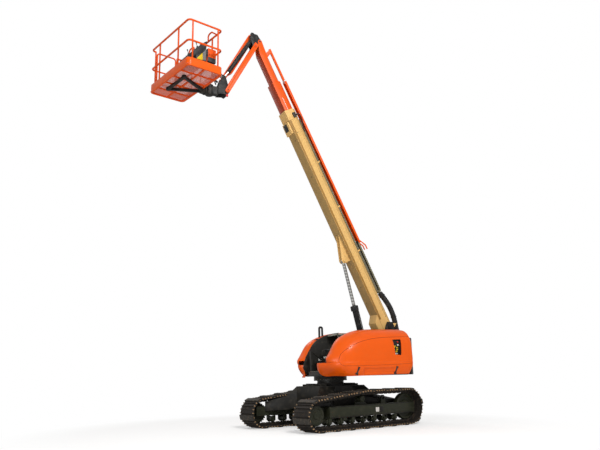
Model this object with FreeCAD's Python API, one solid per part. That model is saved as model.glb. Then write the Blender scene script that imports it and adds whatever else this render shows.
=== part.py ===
import FreeCAD, Part
import math
import os

# Telescopic boom lift on crawler tracks.  Millimetres, +Z up, +X along the tracks.
# The upper works are drawn straight (boom along +X, slewing axis at the origin, ground at Z = 0)
# and then turned clockwise by SLEW, the angle at which the machine stands.

V = FreeCAD.Vector

# ---------------------------------------------------------------- undercarriage
SLEW = 13.6                    # boom heading relative to the tracks, degrees clockwise
TRACKS_WIDTH = 2500.0          # over both tracks
SHOE_WIDTH = 530.0
WHEELBASE = 2815.0
SPROCKET_REACH = 341.0         # drive end: wheel centre to pad face
IDLER_REACH = 413.0            # idler end: wheel centre to pad face
CARRIER_X = 20.0               # carrier roller's place along the track
PAD_COUNT = 18                 # road pads round the loop
PAD_PHASE = 184.0              # first pad's place along the loop
PAD_LENGTH = 118.0
PAD_HEIGHT = 40.0              # from shoe plate to pad face
GROUSER_HEIGHT = 26.0
GROUSER_T = 12.0
GROUSER_COUNT = 4              # bars between two pads
SHOE_T = 14.0
CHAIN_HEIGHT = 62.0
CHAIN_WIDTH = 150.0
BEAM_X0, BEAM_X1 = -1640.0, 1040.0
BEAM_Z0, BEAM_Z1 = 265.0, 505.0
BEAM_INSET = 140.0             # side beam's outer face, in from the track's outer edge
BEAM_OUT = TRACKS_WIDTH / 2.0 - BEAM_INSET
BEAM_WIDTH = 250.0
YOKE_X = -1060.0               # beam opens here to take the idler
EYE_X, EYE_Z = -712.0, 625.0   # tie-down eye on the side beam
EYE_R = 34.0
EYE_T = 30.0
ROLLER_R = 70.0
ROLLER_COUNT = 7
CARRIER_R = 70.0
CARBODY_TOP = 915.0
CARBODY_BOTTOM = 370.0
CARBODY_HALF = 430.0
CARBODY_TOP_X = 690.0
LEG_ROOT = (230.0, 690.0)      # leg's span along the tracks where it leaves the centre box
LEG_KNEE = (420.0, 900.0)      # where it bends, at LEG_KNEE_Y
LEG_KNEE_OUT = 120.0           # knee's distance out from the centre box
LEG_KNEE_Y = CARBODY_HALF + LEG_KNEE_OUT
LEG_KNEE_TOP = 700.0
LEG_TIP = (790.0, 1290.0)      # and where it meets the side beam
LEG_TIP_TOP = 585.0
WALL_GAP = 5.0                 # clearance between pieces that pass one another

# ---------------------------------------------------------------- slewing ring and turntable
RING_R = 318.0
RING_TOP = 1030.0
FLANGE_R = 388.0
BASE_Z0 = 1128.0
BASE_T = 30.0
SUPER_HALF = 1148.0            # half width over the hoods
VALLEY_HALF = 560.0            # half width between the hoods
SILL_HALF = 395.0              # half width between the hoods' low front corners
TAIL_X = -2080.0
TAIL_SIDE_X = -1612.0
TAIL_HALF = 1000.0
TAIL_CORNER = 28.0             # straight part of the tail's sides
TAIL_MIDDLE_TOP = 1900.0       # top of its part between the hoods
HOOD_BOTTOM = 1118.0
HOOD_TOP = 2178.0
HOOD_WALL = 8.0
HOOD_SIDE = 1148.0
HOOD_REAR_X = -1490.0
HOOD_HINGE_Y = VALLEY_HALF + 15.0
HOOD_HINGE_Z = HOOD_TOP - 22.0
HOOD_PIN_R = 7.0
EXHAUST_LEGS = (-158.0, -78.0)
EXHAUST_Y = -650.0
EXHAUST_R = 19.0
EXHAUST_TOP = 2331.0
TOWER_T = 30.0
PIVOT = (-1624.0, 2314.0)      # boom foot pin, X and Z
PIVOT_PIN_R = 38.0

# ---------------------------------------------------------------- boom
BOOM_ANGLE = 64.2
BASE_W = 348.0
BASE_BOTTOM = -187.0           # underside below the foot pin's line
BASE_TOP = 150.0
BASE_SHOULDER = 115.0          # 45 degree bend at the top corners
BASE_REAR = -110.0
BASE_HEAD = 5985.0
TELE_STEP = 22.0               # how much smaller each section is, per side
TELE_WALL = 7.0
MID_HEAD = 6770.0
MID_TAIL = 1000.0
FLY_HEAD = 7600.0
FLY_TAIL = 1660.0
HEAD_COLLAR = 260.0
HEAD_COLLAR_T = 9.0
SENSOR_FROM, SENSOR_TO = 5390.0, 5700.0   # box under the boom's head
SENSOR_DEPTH = 48.0
TELE_PLAY = 7.0                # room between nested sections, per side, beside the wall
MID_RANGE = (-650.0, 4400.0)
LIFT_RANGE = (-64.2, 7.8)

# ---------------------------------------------------------------- lift cylinder
LIFT_FOOT = (-1028.0, 1550.0)
LIFT_EYE = (1953.0, -343.0)    # along the boom and above its pin line
LIFT_PIN_R = 30.0
LIFT_BARREL_R = 72.0
LIFT_ROD_R = 42.0
LIFT_EYE_R = 58.0
LIFT_EYE_W = 90.0
LIFT_ROD_SHOWN = 1150.0        # from gland to upper pin

# ---------------------------------------------------------------- jib
LEVEL_PIN = (7890.0, 25.0)     # level pin, along the boom and above its pin line
JIB_ANGLE = -61.5
JIB_RANGE = 130.0
JIB_ARM_PIN = (2001.0, 9577.0)
JIB_LENGTH = 1520.0
JIB_LINK_PIN = (1918.0, 9247.0)
JIB_ARM_D = 105.0
JIB_ARM_BELLY = 58.0           # how much deeper the arm is towards the link, away from its ends
JIB_ARM_W = 84.0
JIB_ARM_Y = -50.0
JIB_LINK_D = 118.0
JIB_LINK_W = 30.0
JIB_LINK_Y = 142.0
JIB_CYL_R = 52.0
JIB_CYL_Y = 50.0
JIB_CYL_TOP = (2001.0, 9440.0)
JIB_LINK_TAIL = 95.0           # how far the link runs on above its upper pin
JIB_ROD_R = 27.0
PIN_R = 25.0
PIN_STOP_Y = -6.0              # the arm's pins end here, short of the cylinder

# ---------------------------------------------------------------- platform
ROTATOR_X = 3066.0
PLATFORM_TURN = 13.6           # platform's turn to the left of the boom
PLATFORM_OFFSET = 650.0        # rotator axis to platform centre
PLATFORM_W = 1850.0
PLATFORM_D = 910.0
FLOOR_Z = 7854.0
RAIL_TOP = 1144.0
RAIL_MID = 620.0
RAIL_R = 19.0
POST_R = 16.0
RAIL_IN = 24.0                 # rail's middle in from the skirt's outer face
SKIRT_H = 190.0
SKIRT_T = 4.0
FLOOR_T = 36.0
MESH_T = 4.0
FLOOR_BAYS = 5
SKIRT_CORNER = 95.0
CONSOLE_IN = 48.0              # console's back, in from the skirt's outer face
CONSOLE_Y0, CONSOLE_Y1 = -428.0, 263.0
HOOP_TOP = 1305.0
HOOP_R = 15.0


# ---------------------------------------------------------------- shape helpers
def box(x0, x1, y0, y1, z0, z1):
    """Axis-aligned block between two corners."""
    return Part.makeBox(x1 - x0, y1 - y0, z1 - z0, V(x0, y0, z0))


def rod(start, end, radius):
    """Round bar from one point to another."""
    a = V(*start)
    b = V(*end)
    return Part.makeCylinder(radius, (b - a).Length, a, b - a)


def pin_y(x, z, radius, y0, y1):
    """Round bar along Y."""
    return Part.makeCylinder(radius, y1 - y0, V(x, y0, z), V(0, 1, 0))


def disc_z(x, y, radius, z0, z1):
    """Round plate lying flat."""
    return Part.makeCylinder(radius, z1 - z0, V(x, y, z0), V(0, 0, 1))


def side_plate(points, y0, y1):
    """Prism along Y with an outline given in X and Z."""
    loop = [V(x, y0, z) for x, z in points]
    return Part.Face(Part.makePolygon(loop + [loop[0]])).extrude(V(0, y1 - y0, 0))


def plan_plate(points, z0, z1):
    """Prism along Z with an outline given in X and Y."""
    loop = [V(x, y, z0) for x, y in points]
    return Part.Face(Part.makePolygon(loop + [loop[0]])).extrude(V(0, 0, z1 - z0))


def cross_plate(points, x0, x1):
    """Prism along X with an outline given in Y and Z."""
    loop = [V(x0, y, z) for y, z in points]
    return Part.Face(Part.makePolygon(loop + [loop[0]])).extrude(V(x1 - x0, 0, 0))


def join(shapes):
    """One solid out of overlapping ones."""
    first = shapes[0]
    if len(shapes) > 1:
        first = first.fuse(shapes[1:])
    return first.removeSplitter()


def group(shapes):
    """Solids of one node that stay separate."""
    return Part.makeCompound(shapes)


def mirrored(shape):
    """The same shape on the other side of the centre line."""
    return shape.mirror(V(0, 0, 0), V(0, 1, 0))


def bent_tube(points, radius, bend):
    """Round tube through points, with every corner bent to one radius."""
    pts = [V(*p) for p in points]
    pieces = []
    start = pts[0]
    for before, corner, after in zip(pts, pts[1:], pts[2:]):
        u = (before - corner).normalize()
        w = (after - corner).normalize()
        half = u.getAngle(w) / 2.0
        cut = bend / math.tan(half)
        p = corner + u * cut
        q = corner + w * cut
        centre = corner + (u + w).normalize() * (bend / math.sin(half))
        pieces.append(Part.makeCylinder(radius, (p - start).Length, start, p - start))
        ring = Part.Face(Part.Wire([Part.makeCircle(radius, p, p - start)]))
        axis = u.cross(w).normalize() * -1.0
        pieces.append(ring.revolve(centre, axis, 180.0 - math.degrees(2.0 * half)))
        start = q
    pieces.append(Part.makeCylinder(radius, (pts[-1] - start).Length, start, pts[-1] - start))
    return join(pieces)


def capsule(a, b, radius, y0, y1):
    """Flat link with round ends between two X, Z points."""
    ax, az = a
    bx, bz = b
    length = math.hypot(bx - ax, bz - az)
    nx = -(bz - az) / length * radius
    nz = (bx - ax) / length * radius
    body = side_plate([(ax + nx, az + nz), (bx + nx, bz + nz), (bx - nx, bz - nz), (ax - nx, az - nz)],
                      y0, y1)
    return join([body, pin_y(ax, az, radius, y0, y1), pin_y(bx, bz, radius, y0, y1)])


# ---------------------------------------------------------------- placing frames
def on_boom(shape):
    """From the boom's own frame, X along it and the foot pin at the origin, to the upper works' frame."""
    moved = shape.copy()
    turn = FreeCAD.Rotation(V(0, 1, 0), -BOOM_ANGLE)
    moved.Placement = FreeCAD.Placement(V(PIVOT[0], 0, PIVOT[1]), turn).multiply(moved.Placement)
    return moved


def boom_point(along, above):
    """X and Z of a point given along and above the boom's pin line."""
    a = math.radians(BOOM_ANGLE)
    return (PIVOT[0] + along * math.cos(a) - above * math.sin(a),
            PIVOT[1] + along * math.sin(a) + above * math.cos(a))


def on_bar(shape, start, end):
    """From a frame with X along a bar and its first pin at the origin, to the upper works' frame."""
    angle = math.degrees(math.atan2(end[1] - start[1], end[0] - start[0]))
    moved = shape.copy()
    turn = FreeCAD.Rotation(V(0, 1, 0), -angle)
    moved.Placement = FreeCAD.Placement(V(start[0], 0, start[1]), turn).multiply(moved.Placement)
    return moved


def on_platform(shape):
    """From the platform's frame (origin: middle of its floor's underside) to the upper works' frame."""
    moved = shape.copy()
    turn = FreeCAD.Rotation(V(0, 0, 1), PLATFORM_TURN)
    reach = turn.multVec(V(PLATFORM_OFFSET, 0, 0))
    base = V(ROTATOR_X + reach.x, reach.y, FLOOR_Z)
    moved.Placement = FreeCAD.Placement(base, turn).multiply(moved.Placement)
    return moved


def slewed(shape):
    """Upper works turned to where they stand over the tracks."""
    moved = shape.copy()
    turn = FreeCAD.Rotation(V(0, 0, 1), -SLEW)
    moved.Placement = FreeCAD.Placement(V(0, 0, 0), turn).multiply(moved.Placement)
    return moved


# ---------------------------------------------------------------- undercarriage pieces
def jib_end_pin():
    """X and Z of the pin at the arm's lower end."""
    a = math.radians(JIB_ANGLE)
    return (JIB_ARM_PIN[0] + JIB_LENGTH * math.cos(a), JIB_ARM_PIN[1] + JIB_LENGTH * math.sin(a))


def jib_link_end():
    """X and Z of the pin at the link's lower end."""
    a = math.radians(JIB_ANGLE)
    return (JIB_LINK_PIN[0] + JIB_LENGTH * math.cos(a), JIB_LINK_PIN[1] + JIB_LENGTH * math.sin(a))


def track_path(inset):
    """The track's loop as arcs and straight runs, inset from the pad faces.

    Returns a list of (length, function) where function(d) gives X, Z and the outward angle."""
    drive = (WHEELBASE / 2.0, SPROCKET_REACH)
    idler = (-WHEELBASE / 2.0, IDLER_REACH)
    r_drive = SPROCKET_REACH - inset
    r_idler = IDLER_REACH - inset
    top = 2.0 * IDLER_REACH - inset
    kink = (CARRIER_X, top)
    # the front run goes from the kink to a tangent on the drive wheel's circle
    dx = drive[0] - kink[0]
    dz = drive[1] - kink[1]
    gap = math.hypot(dx, dz)
    slope = math.atan2(dz, dx) + math.asin(r_drive / gap)
    top_normal = slope + math.pi / 2.0
    touch = (drive[0] + r_drive * math.cos(top_normal), drive[1] + r_drive * math.sin(top_normal))
    runs = []

    def line(a, b, angle):
        length = math.hypot(b[0] - a[0], b[1] - a[1])
        return (length, lambda d: (a[0] + (b[0] - a[0]) * d / length, a[1] + (b[1] - a[1]) * d / length,
                                   angle))

    def arc(c, r, a0, a1):
        length = abs(a1 - a0) * r
        return (length, lambda d: (c[0] + r * math.cos(a0 + (a1 - a0) * d / length),
                                   c[1] + r * math.sin(a0 + (a1 - a0) * d / length),
                                   a0 + (a1 - a0) * d / length))

    runs.append(line((idler[0], inset), (drive[0], inset), -math.pi / 2.0))
    runs.append(arc(drive, r_drive, -math.pi / 2.0, top_normal))
    runs.append(line(touch, kink, top_normal))
    runs.append(line(kink, (idler[0], top), math.pi / 2.0))
    runs.append(arc(idler, r_idler, math.pi / 2.0, math.pi * 1.5))
    return runs


def path_point(runs, distance):
    """Point and outward angle at a distance along the loop."""
    total = sum(length for length, _ in runs)
    d = distance % total
    for length, where in runs:
        if d <= length:
            return where(d)
        d -= length
    return runs[-1][1](runs[-1][0])


def loop_face(inset, y):
    """Flat face inside the track's loop."""
    runs = track_path(inset)
    edges = []
    for length, where in runs:
        a = where(0.0)
        m = where(length / 2.0)
        b = where(length)
        if abs(a[2] - b[2]) < 1e-6:
            edges.append(Part.LineSegment(V(a[0], y, a[1]), V(b[0], y, b[1])).toShape())
        else:
            edges.append(Part.Arc(V(a[0], y, a[1]), V(m[0], y, m[1]), V(b[0], y, b[1])).toShape())
    return Part.Face(Part.Wire(Part.__sortEdges__(edges)))


def block_on_path(runs, distance, length, height, y0, y1, sink):
    """Block standing out of the loop, its middle at a distance along it."""
    x, z, angle = path_point(runs, distance)
    shape = box(-sink, height, y0, y1, -length / 2.0, length / 2.0)
    turn = FreeCAD.Rotation(V(0, 1, 0), -math.degrees(angle))
    shape.Placement = FreeCAD.Placement(V(x, 0, z), turn)
    return shape


def track_belt(side):
    """One crawler track: chain, shoe plates, grouser bars and road pads, as one fixed loop."""
    outer = side * TRACKS_WIDTH / 2.0
    inner = side * (TRACKS_WIDTH / 2.0 - SHOE_WIDTH)
    y0 = min(outer, inner)
    y1 = max(outer, inner)
    middle = (y0 + y1) / 2.0
    plate_in = PAD_HEIGHT + SHOE_T
    plates = loop_face(PAD_HEIGHT, y0).extrude(V(0, y1 - y0, 0))
    plates = plates.cut(loop_face(plate_in, y0 - 1.0).extrude(V(0, y1 - y0 + 2.0, 0)))
    c0 = middle - CHAIN_WIDTH / 2.0
    chain = loop_face(plate_in - 1.0, c0).extrude(V(0, CHAIN_WIDTH, 0))
    chain = chain.cut(loop_face(plate_in + CHAIN_HEIGHT, c0 - 1.0).extrude(V(0, CHAIN_WIDTH + 2.0, 0)))
    runs = track_path(PAD_HEIGHT)
    total = sum(length for length, _ in runs)
    pitch = total / PAD_COUNT
    pieces = [plates, chain]
    bar_room = pitch - PAD_LENGTH
    for i in range(PAD_COUNT):
        start = PAD_PHASE + i * pitch
        pieces.append(block_on_path(runs, start, PAD_LENGTH, PAD_HEIGHT, y0, y1, SHOE_T / 2.0))
        for k in range(GROUSER_COUNT):
            at = start + PAD_LENGTH / 2.0 + bar_room * (k + 0.5) / GROUSER_COUNT
            pieces.append(block_on_path(runs, at, GROUSER_T, GROUSER_HEIGHT, y0, y1, SHOE_T / 2.0))
    return join(pieces)


def side_beam(side):
    """Track frame: the box beam with the idler yoke, roller guards and the carrier roller's post."""
    y_out = BEAM_OUT
    y_in = BEAM_OUT - BEAM_WIDTH
    beam = box(BEAM_X0, BEAM_X1, y_in, y_out, BEAM_Z0, BEAM_Z1)
    beam = beam.cut(box(BEAM_X0 - 5.0, BEAM_X1 - 40.0, y_in + 14.0, y_out - 14.0, BEAM_Z0 + 16.0,
                        BEAM_Z1 - 16.0))
    beam = beam.cut(box(BEAM_X0 - 5.0, YOKE_X, y_in + 14.0, y_out - 14.0, BEAM_Z0 - 5.0, BEAM_Z1 + 5.0))
    middle = TRACKS_WIDTH / 2.0 - SHOE_WIDTH / 2.0
    post = side_plate([(CARRIER_X - 320.0, BEAM_Z1 - 5.0), (CARRIER_X + 60.0, BEAM_Z1 - 5.0),
                       (CARRIER_X + 60.0, BEAM_Z1 + 60.0), (CARRIER_X - 60.0, BEAM_Z1 + 200.0),
                       (CARRIER_X - 130.0, BEAM_Z1 + 150.0)],
                      y_in, y_in + 30.0)
    eye = side_plate([(EYE_X - 78.0, BEAM_Z1 - 5.0), (EYE_X + 78.0, BEAM_Z1 - 5.0),
                      (EYE_X + 58.0, EYE_Z + 20.0),
                      (EYE_X + 28.0, EYE_Z + 64.0), (EYE_X - 28.0, EYE_Z + 64.0),
                      (EYE_X - 58.0, EYE_Z + 20.0)],
                     middle - EYE_T / 2.0, middle + EYE_T / 2.0)
    eye = eye.cut(pin_y(EYE_X, EYE_Z, EYE_R, middle - EYE_T, middle + EYE_T))
    drive_box = box(BEAM_X1 - 5.0, WHEELBASE / 2.0 + 120.0, y_in, y_in + 70.0, BEAM_Z0 + 10.0,
                    BEAM_Z1 - 20.0)
    shape = join([beam, post, eye, drive_box])
    return shape if side > 0 else mirrored(shape)


def track_rollers(side):
    """Bottom rollers and the carrier roller of one track."""
    middle = TRACKS_WIDTH / 2.0 - SHOE_WIDTH / 2.0
    chain_top = PAD_HEIGHT + SHOE_T + CHAIN_HEIGHT
    first = -WHEELBASE / 2.0 + 420.0
    step = (WHEELBASE - 800.0) / (ROLLER_COUNT - 1)
    solids = []
    for i in range(ROLLER_COUNT):
        x = first + i * step
        z = chain_top + ROLLER_R
        tread = pin_y(x, z, ROLLER_R, middle - 95.0, middle + 95.0)
        axle = box(x - 45.0, x + 45.0, middle - 125.0, middle + 125.0, z - 30.0, BEAM_Z0)
        solids.append(join([tread, axle]))
    top = 2.0 * IDLER_REACH - chain_top
    solids.append(pin_y(CARRIER_X, top - CARRIER_R - 8.0, CARRIER_R, BEAM_OUT - BEAM_WIDTH + 30.0,
                        middle + 95.0))
    shape = group(solids)
    return shape if side > 0 else mirrored(shape)


def idler_wheel(side):
    """Idler at the track's rear end."""
    middle = TRACKS_WIDTH / 2.0 - SHOE_WIDTH / 2.0
    radius = IDLER_REACH - PAD_HEIGHT - SHOE_T - CHAIN_HEIGHT - 1.0
    x = -WHEELBASE / 2.0
    shape = pin_y(x, IDLER_REACH, radius, middle - 60.0, middle + 60.0)
    hub = BEAM_WIDTH / 2.0 - 16.0
    shape = join([shape, pin_y(x, IDLER_REACH, radius * 0.55, middle - hub, middle + hub)])
    return shape if side > 0 else mirrored(shape)


def final_drive(side):
    """Sprocket, hub cover and motor housing at the track's front end."""
    middle = TRACKS_WIDTH / 2.0 - SHOE_WIDTH / 2.0
    radius = SPROCKET_REACH - PAD_HEIGHT - SHOE_T - CHAIN_HEIGHT - 1.0
    x = WHEELBASE / 2.0
    disc = pin_y(x, SPROCKET_REACH, radius, middle - 35.0, middle + 35.0)
    hub = pin_y(x, SPROCKET_REACH, radius - 18.0, middle + 30.0, middle + 120.0)
    motor = pin_y(x, SPROCKET_REACH, radius - 45.0, BEAM_OUT - BEAM_WIDTH + 70.0, middle)
    shape = join([disc, hub, motor])
    return shape if side > 0 else mirrored(shape)


def carbody():
    """Centre box between the tracks and its four sloping legs."""
    body = box(-CARBODY_TOP_X, CARBODY_TOP_X, -CARBODY_HALF, CARBODY_HALF, CARBODY_BOTTOM + 60.0,
               CARBODY_TOP)
    room = CARBODY_HALF - 25.0
    x_in = CARBODY_TOP_X - 25.0
    z_in = CARBODY_TOP - 25.0
    body = body.cut(box(-x_in, x_in, 15.0, room, CARBODY_BOTTOM, z_in))
    body = body.cut(box(-x_in, x_in, -room, -15.0, CARBODY_BOTTOM, z_in))
    pieces = [body]
    reach = BEAM_OUT - BEAM_WIDTH
    root = CARBODY_HALF - 12.0
    stations = [(root, LEG_ROOT, CARBODY_BOTTOM + 60.0, CARBODY_TOP),
                (LEG_KNEE_Y, LEG_KNEE, CARBODY_BOTTOM + 30.0, LEG_KNEE_TOP),
                (reach, LEG_TIP, CARBODY_BOTTOM, LEG_TIP_TOP)]
    for sx in (-1, 1):
        for sy in (-1, 1):
            wires = [leg_section(sx, sy, *station) for station in stations]
            pieces.append(Part.makeLoft(wires[:2], True, True))
            pieces.append(Part.makeLoft(wires[1:], True, True))
    return join(pieces)


def leg_section(sx, sy, y, span, low, high):
    """Upright section of a leg at one distance from the centre line."""
    points = [V(sx * span[0], sy * y, low), V(sx * span[1], sy * y, low),
              V(sx * span[1], sy * y, high), V(sx * span[0], sy * y, high)]
    return Part.makePolygon(points + [points[0]])


def slewing_ring():
    """Outer ring that stays with the centre frame."""
    return disc_z(0, 0, RING_R, CARBODY_TOP, RING_TOP)


# ---------------------------------------------------------------- turntable pieces
def tail_outline():
    """Plan outline of the counterweight as a face, round at the back."""
    half = TAIL_HALF
    corner = V(TAIL_SIDE_X - TAIL_CORNER, half, 0)
    other = V(TAIL_SIDE_X - TAIL_CORNER, -half, 0)
    edges = [Part.Arc(corner, V(TAIL_X, 0, 0), other).toShape(),
             Part.LineSegment(other, V(TAIL_SIDE_X, -half, 0)).toShape(),
             Part.LineSegment(V(TAIL_SIDE_X, -half, 0), V(TAIL_SIDE_X, half, 0)).toShape(),
             Part.LineSegment(V(TAIL_SIDE_X, half, 0), corner).toShape()]
    return Part.Face(Part.Wire(edges))


def turntable_frame():
    """Base plate, the two tower plates with the boom's foot pin and the lift cylinder's lugs."""
    tower_y = BASE_W / 2.0 + WALL_GAP + 3.0
    base = box(-1480.0, 400.0, -SILL_HALF + 8.0, SILL_HALF - 8.0, BASE_Z0, BASE_Z0 + BASE_T)
    sill_y = SUPER_HALF - 110.0
    sill = plan_plate([(-1480.0, -sill_y), (-230.0, -sill_y), (120.0, -860.0), (330.0, -540.0),
                       (330.0, 540.0),
                       (120.0, 860.0), (-230.0, sill_y), (-1480.0, sill_y)], BASE_Z0, BASE_Z0 + BASE_T)
    step = box(235.0, 400.0, -330.0, 330.0, BASE_Z0 + BASE_T - 1.0, BASE_Z0 + BASE_T + 85.0)
    posts = [box(305.0, 355.0, -350.0, -300.0, BASE_Z0 + BASE_T - 1.0, 1725.0),
             side_plate([(-480.0, BASE_Z0 + BASE_T - 1.0), (-430.0, BASE_Z0 + BASE_T - 1.0),
                         (330.0, 1700.0), (280.0, 1700.0)],
                        -345.0, -305.0)]
    flange = disc_z(0, 0, FLANGE_R, RING_TOP, BASE_Z0 + 5.0)
    plates = []
    outline = [(-1900.0, BASE_Z0 + 20.0), (-560.0, BASE_Z0 + 20.0), (-560.0, 1300.0), (-900.0, 1560.0),
               (PIVOT[0] + 250.0, 1900.0), (PIVOT[0] + 120.0, PIVOT[1]),
               (PIVOT[0] + 70.0, PIVOT[1] + 100.0),
               (PIVOT[0] - 70.0, PIVOT[1] + 100.0), (PIVOT[0] - 120.0, PIVOT[1]), (-1820.0, 1900.0)]
    for side in (-1, 1):
        y0 = side * tower_y if side > 0 else -tower_y - TOWER_T
        plates.append(side_plate(outline, y0, y0 + TOWER_T))
    floor_rear = box(-1900.0, -1475.0, -tower_y - TOWER_T, tower_y + TOWER_T, BASE_Z0, BASE_Z0 + BASE_T)
    foot = pin_y(PIVOT[0], PIVOT[1], PIVOT_PIN_R, -tower_y - TOWER_T - 25.0, tower_y + TOWER_T + 25.0)
    lug_gap = LIFT_EYE_W / 2.0 + 2.0
    lugs = []
    for side in (-1, 1):
        y0 = lug_gap if side > 0 else -lug_gap - 25.0
        lug = side_plate([(LIFT_FOOT[0] - 220.0, BASE_Z0 + 20.0), (LIFT_FOOT[0] + 260.0, BASE_Z0 + 20.0),
                          (LIFT_FOOT[0] + 60.0, LIFT_FOOT[1] + 20.0),
                          (LIFT_FOOT[0] + 20.0, LIFT_FOOT[1] + 60.0),
                          (LIFT_FOOT[0] - 20.0, LIFT_FOOT[1] + 60.0),
                          (LIFT_FOOT[0] - 60.0, LIFT_FOOT[1] + 20.0)],
                         y0, y0 + 25.0)
        lugs.append(lug)
        stay = box(LIFT_FOOT[0] - 200.0, LIFT_FOOT[0] - 170.0,
                   min(side * lug_gap, side * (tower_y + 5.0)),
                   max(side * lug_gap, side * (tower_y + 5.0)), BASE_Z0 + 20.0, 1320.0)
        lugs.append(stay)
    reach = lug_gap + 25.0
    pin = pin_y(LIFT_FOOT[0], LIFT_FOOT[1], LIFT_PIN_R, -reach - 12.0, reach + 12.0)
    return join([base, sill, step, flange, floor_rear, foot, pin] + posts + plates + lugs)


def counterweight():
    """Cast tail weight, with a middle part that reaches in between the hoods and a slot for the tower."""
    low = BASE_Z0 + 2.0
    tail = tail_outline().extrude(V(0, 0, 850.0))
    tail.translate(V(0, 0, low))
    reach = VALLEY_HALF - 40.0
    middle = box(TAIL_SIDE_X - 5.0, HOOD_REAR_X + 160.0, -reach, reach, BASE_Z0 + BASE_T + 1.0,
                 TAIL_MIDDLE_TOP)
    slot = box(-1930.0, HOOD_REAR_X + 200.0, -245.0, 245.0, BASE_Z0 - 5.0, 2300.0)
    shape = join([tail, middle]).cut(slot)
    sill = box(TAIL_SIDE_X + 112.0, HOOD_REAR_X + 200.0, -SUPER_HALF, SUPER_HALF, BASE_Z0 - 5.0,
               BASE_Z0 + BASE_T + 1.0)
    return shape.cut(sill)


def valley_side(side):
    """Upright black panel that closes a compartment towards the boom, with the hood's hinge pin."""
    y0 = VALLEY_HALF - 15.0
    points = [(HOOD_REAR_X - 60.0, BASE_Z0 + BASE_T), (340.0, BASE_Z0 + BASE_T), (375.0, 1229.0),
              (430.0, 1300.0),
              (440.0, 1400.0), (412.0, 1440.0), (352.0, 1605.0), (248.0, 1777.0), (172.0, 1890.0),
              (50.0, 2000.0),
              (-148.0, 2096.0), (-375.0, 2138.0), (-620.0, 2140.0), (HOOD_REAR_X, 2140.0),
              (HOOD_REAR_X - 60.0, 2060.0)]
    pieces = [side_plate(points, y0, y0 + 10.0)]
    x0 = HOOD_REAR_X + 30.0
    x1 = -640.0
    pieces.append(Part.makeCylinder(HOOD_PIN_R, x1 - x0, V(x0, HOOD_HINGE_Y, HOOD_HINGE_Z), V(1, 0, 0)))
    for x in (x0 + 20.0, (x0 + x1) / 2.0, x1 - 60.0):
        pieces.append(box(x, x + 40.0, y0 + 8.0, HOOD_HINGE_Y + 5.0, HOOD_HINGE_Z - 44.0,
                          HOOD_HINGE_Z - 18.0))
        pieces.append(box(x, x + 40.0, HOOD_HINGE_Y - 5.0, HOOD_HINGE_Y + 5.0, HOOD_HINGE_Z - 20.0,
                          HOOD_HINGE_Z))
    shape = join(pieces)
    return shape if side > 0 else mirrored(shape)


HOOD_LOW = [
    (1110.0, [(-200, 1077), (172, 948), (360, 650), (412, 400)], -1510.0),
    (1230.0, [(-180, 1126), (285, 960), (465, 640), (512, 400)], -1552.0),
    (1370.0, [(-150, 1148), (355, 965), (525, 640), (550, 400)], -1602.0),
    (1425.0, [(-150, 1148), (352, 965), (520, 640), (545, 400)], -1602.0),
]
HOOD_HIGH = [
    (1424.0, [(-150, 1148), (345, 965), (474, 745), (404, 560)], -1602.0),
    (1600.0, [(-200, 1147), (318, 965), (426, 757), (342, 560)], -1602.0),
    (1770.0, [(-330, 1134), (228, 950), (322, 765), (238, 560)], -1602.0),
    (1880.0, [(-440, 1112), (148, 925), (250, 757), (164, 560)], -1600.0),
    (1990.0, [(-580, 1068), (30, 880), (122, 737), (43, 560)], -1592.0),
    (2085.0, [(-740, 990), (-150, 825), (-78, 707), (-152, 560)], -1580.0),
    (2148.0, [(-880, 890), (-370, 770), (-308, 687), (-372, 560)], -1550.0),
    (2178.0, [(-960, 800), (-600, 710), (-546, 650), (-585, 560)], -1495.0),
]
WINDOW = [(-1300.0, 1932.0), (-1069.0, 1923.0), (-1104.0, 1580.0), (-1264.0, 1571.0)]   # ground controls
HOOD_SLOPE = 34.0              # lower edge's rise from front to rear


def hood_section(height, curve, rear, inset, reach_in):
    """One closed plan section of a hood, pulled in by inset, its inner edge moved by reach_in."""
    front = []
    for x, y in curve[:-1]:
        front.append(V(x - inset, y - inset, height))
    last_x, last_y = curve[-1]
    front.append(V(last_x - inset, last_y - reach_in, height))
    spline = Part.BSplineCurve()
    spline.interpolate(Points=front, InitialTangent=V(1, 0, 0), FinalTangent=V(-0.25, -1, 0))
    side_y = front[0].y
    rear_x = rear + inset
    rear_outer = V(rear_x + 60.0, side_y, height)
    rear_round = V(rear_x, side_y - 60.0, height)
    rear_inner = V(rear_x, last_y - reach_in, height)
    middle = V(rear_x + 17.6, side_y - 17.6, height)
    edges = [spline.toShape(), Part.LineSegment(front[-1], rear_inner).toShape(),
             Part.LineSegment(rear_inner, rear_round).toShape(),
             Part.Arc(rear_round, middle, rear_outer).toShape(),
             Part.LineSegment(rear_outer, front[0]).toShape()]
    return Part.Wire(edges)


def hood_form(inset, reach_in, drop, lower):
    """Solid form of a hood's lower or upper half, lofted through its plan sections."""
    rows = HOOD_LOW if lower else HOOD_HIGH
    wires = []
    for i, (height, curve, rear) in enumerate(rows):
        z = height
        if i == 0:
            z = height - drop
        if not lower and i >= len(rows) - 3:
            z = height - inset
        wires.append(hood_section(z, curve, rear, inset, reach_in))
    return Part.makeLoft(wires, True, False)


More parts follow.
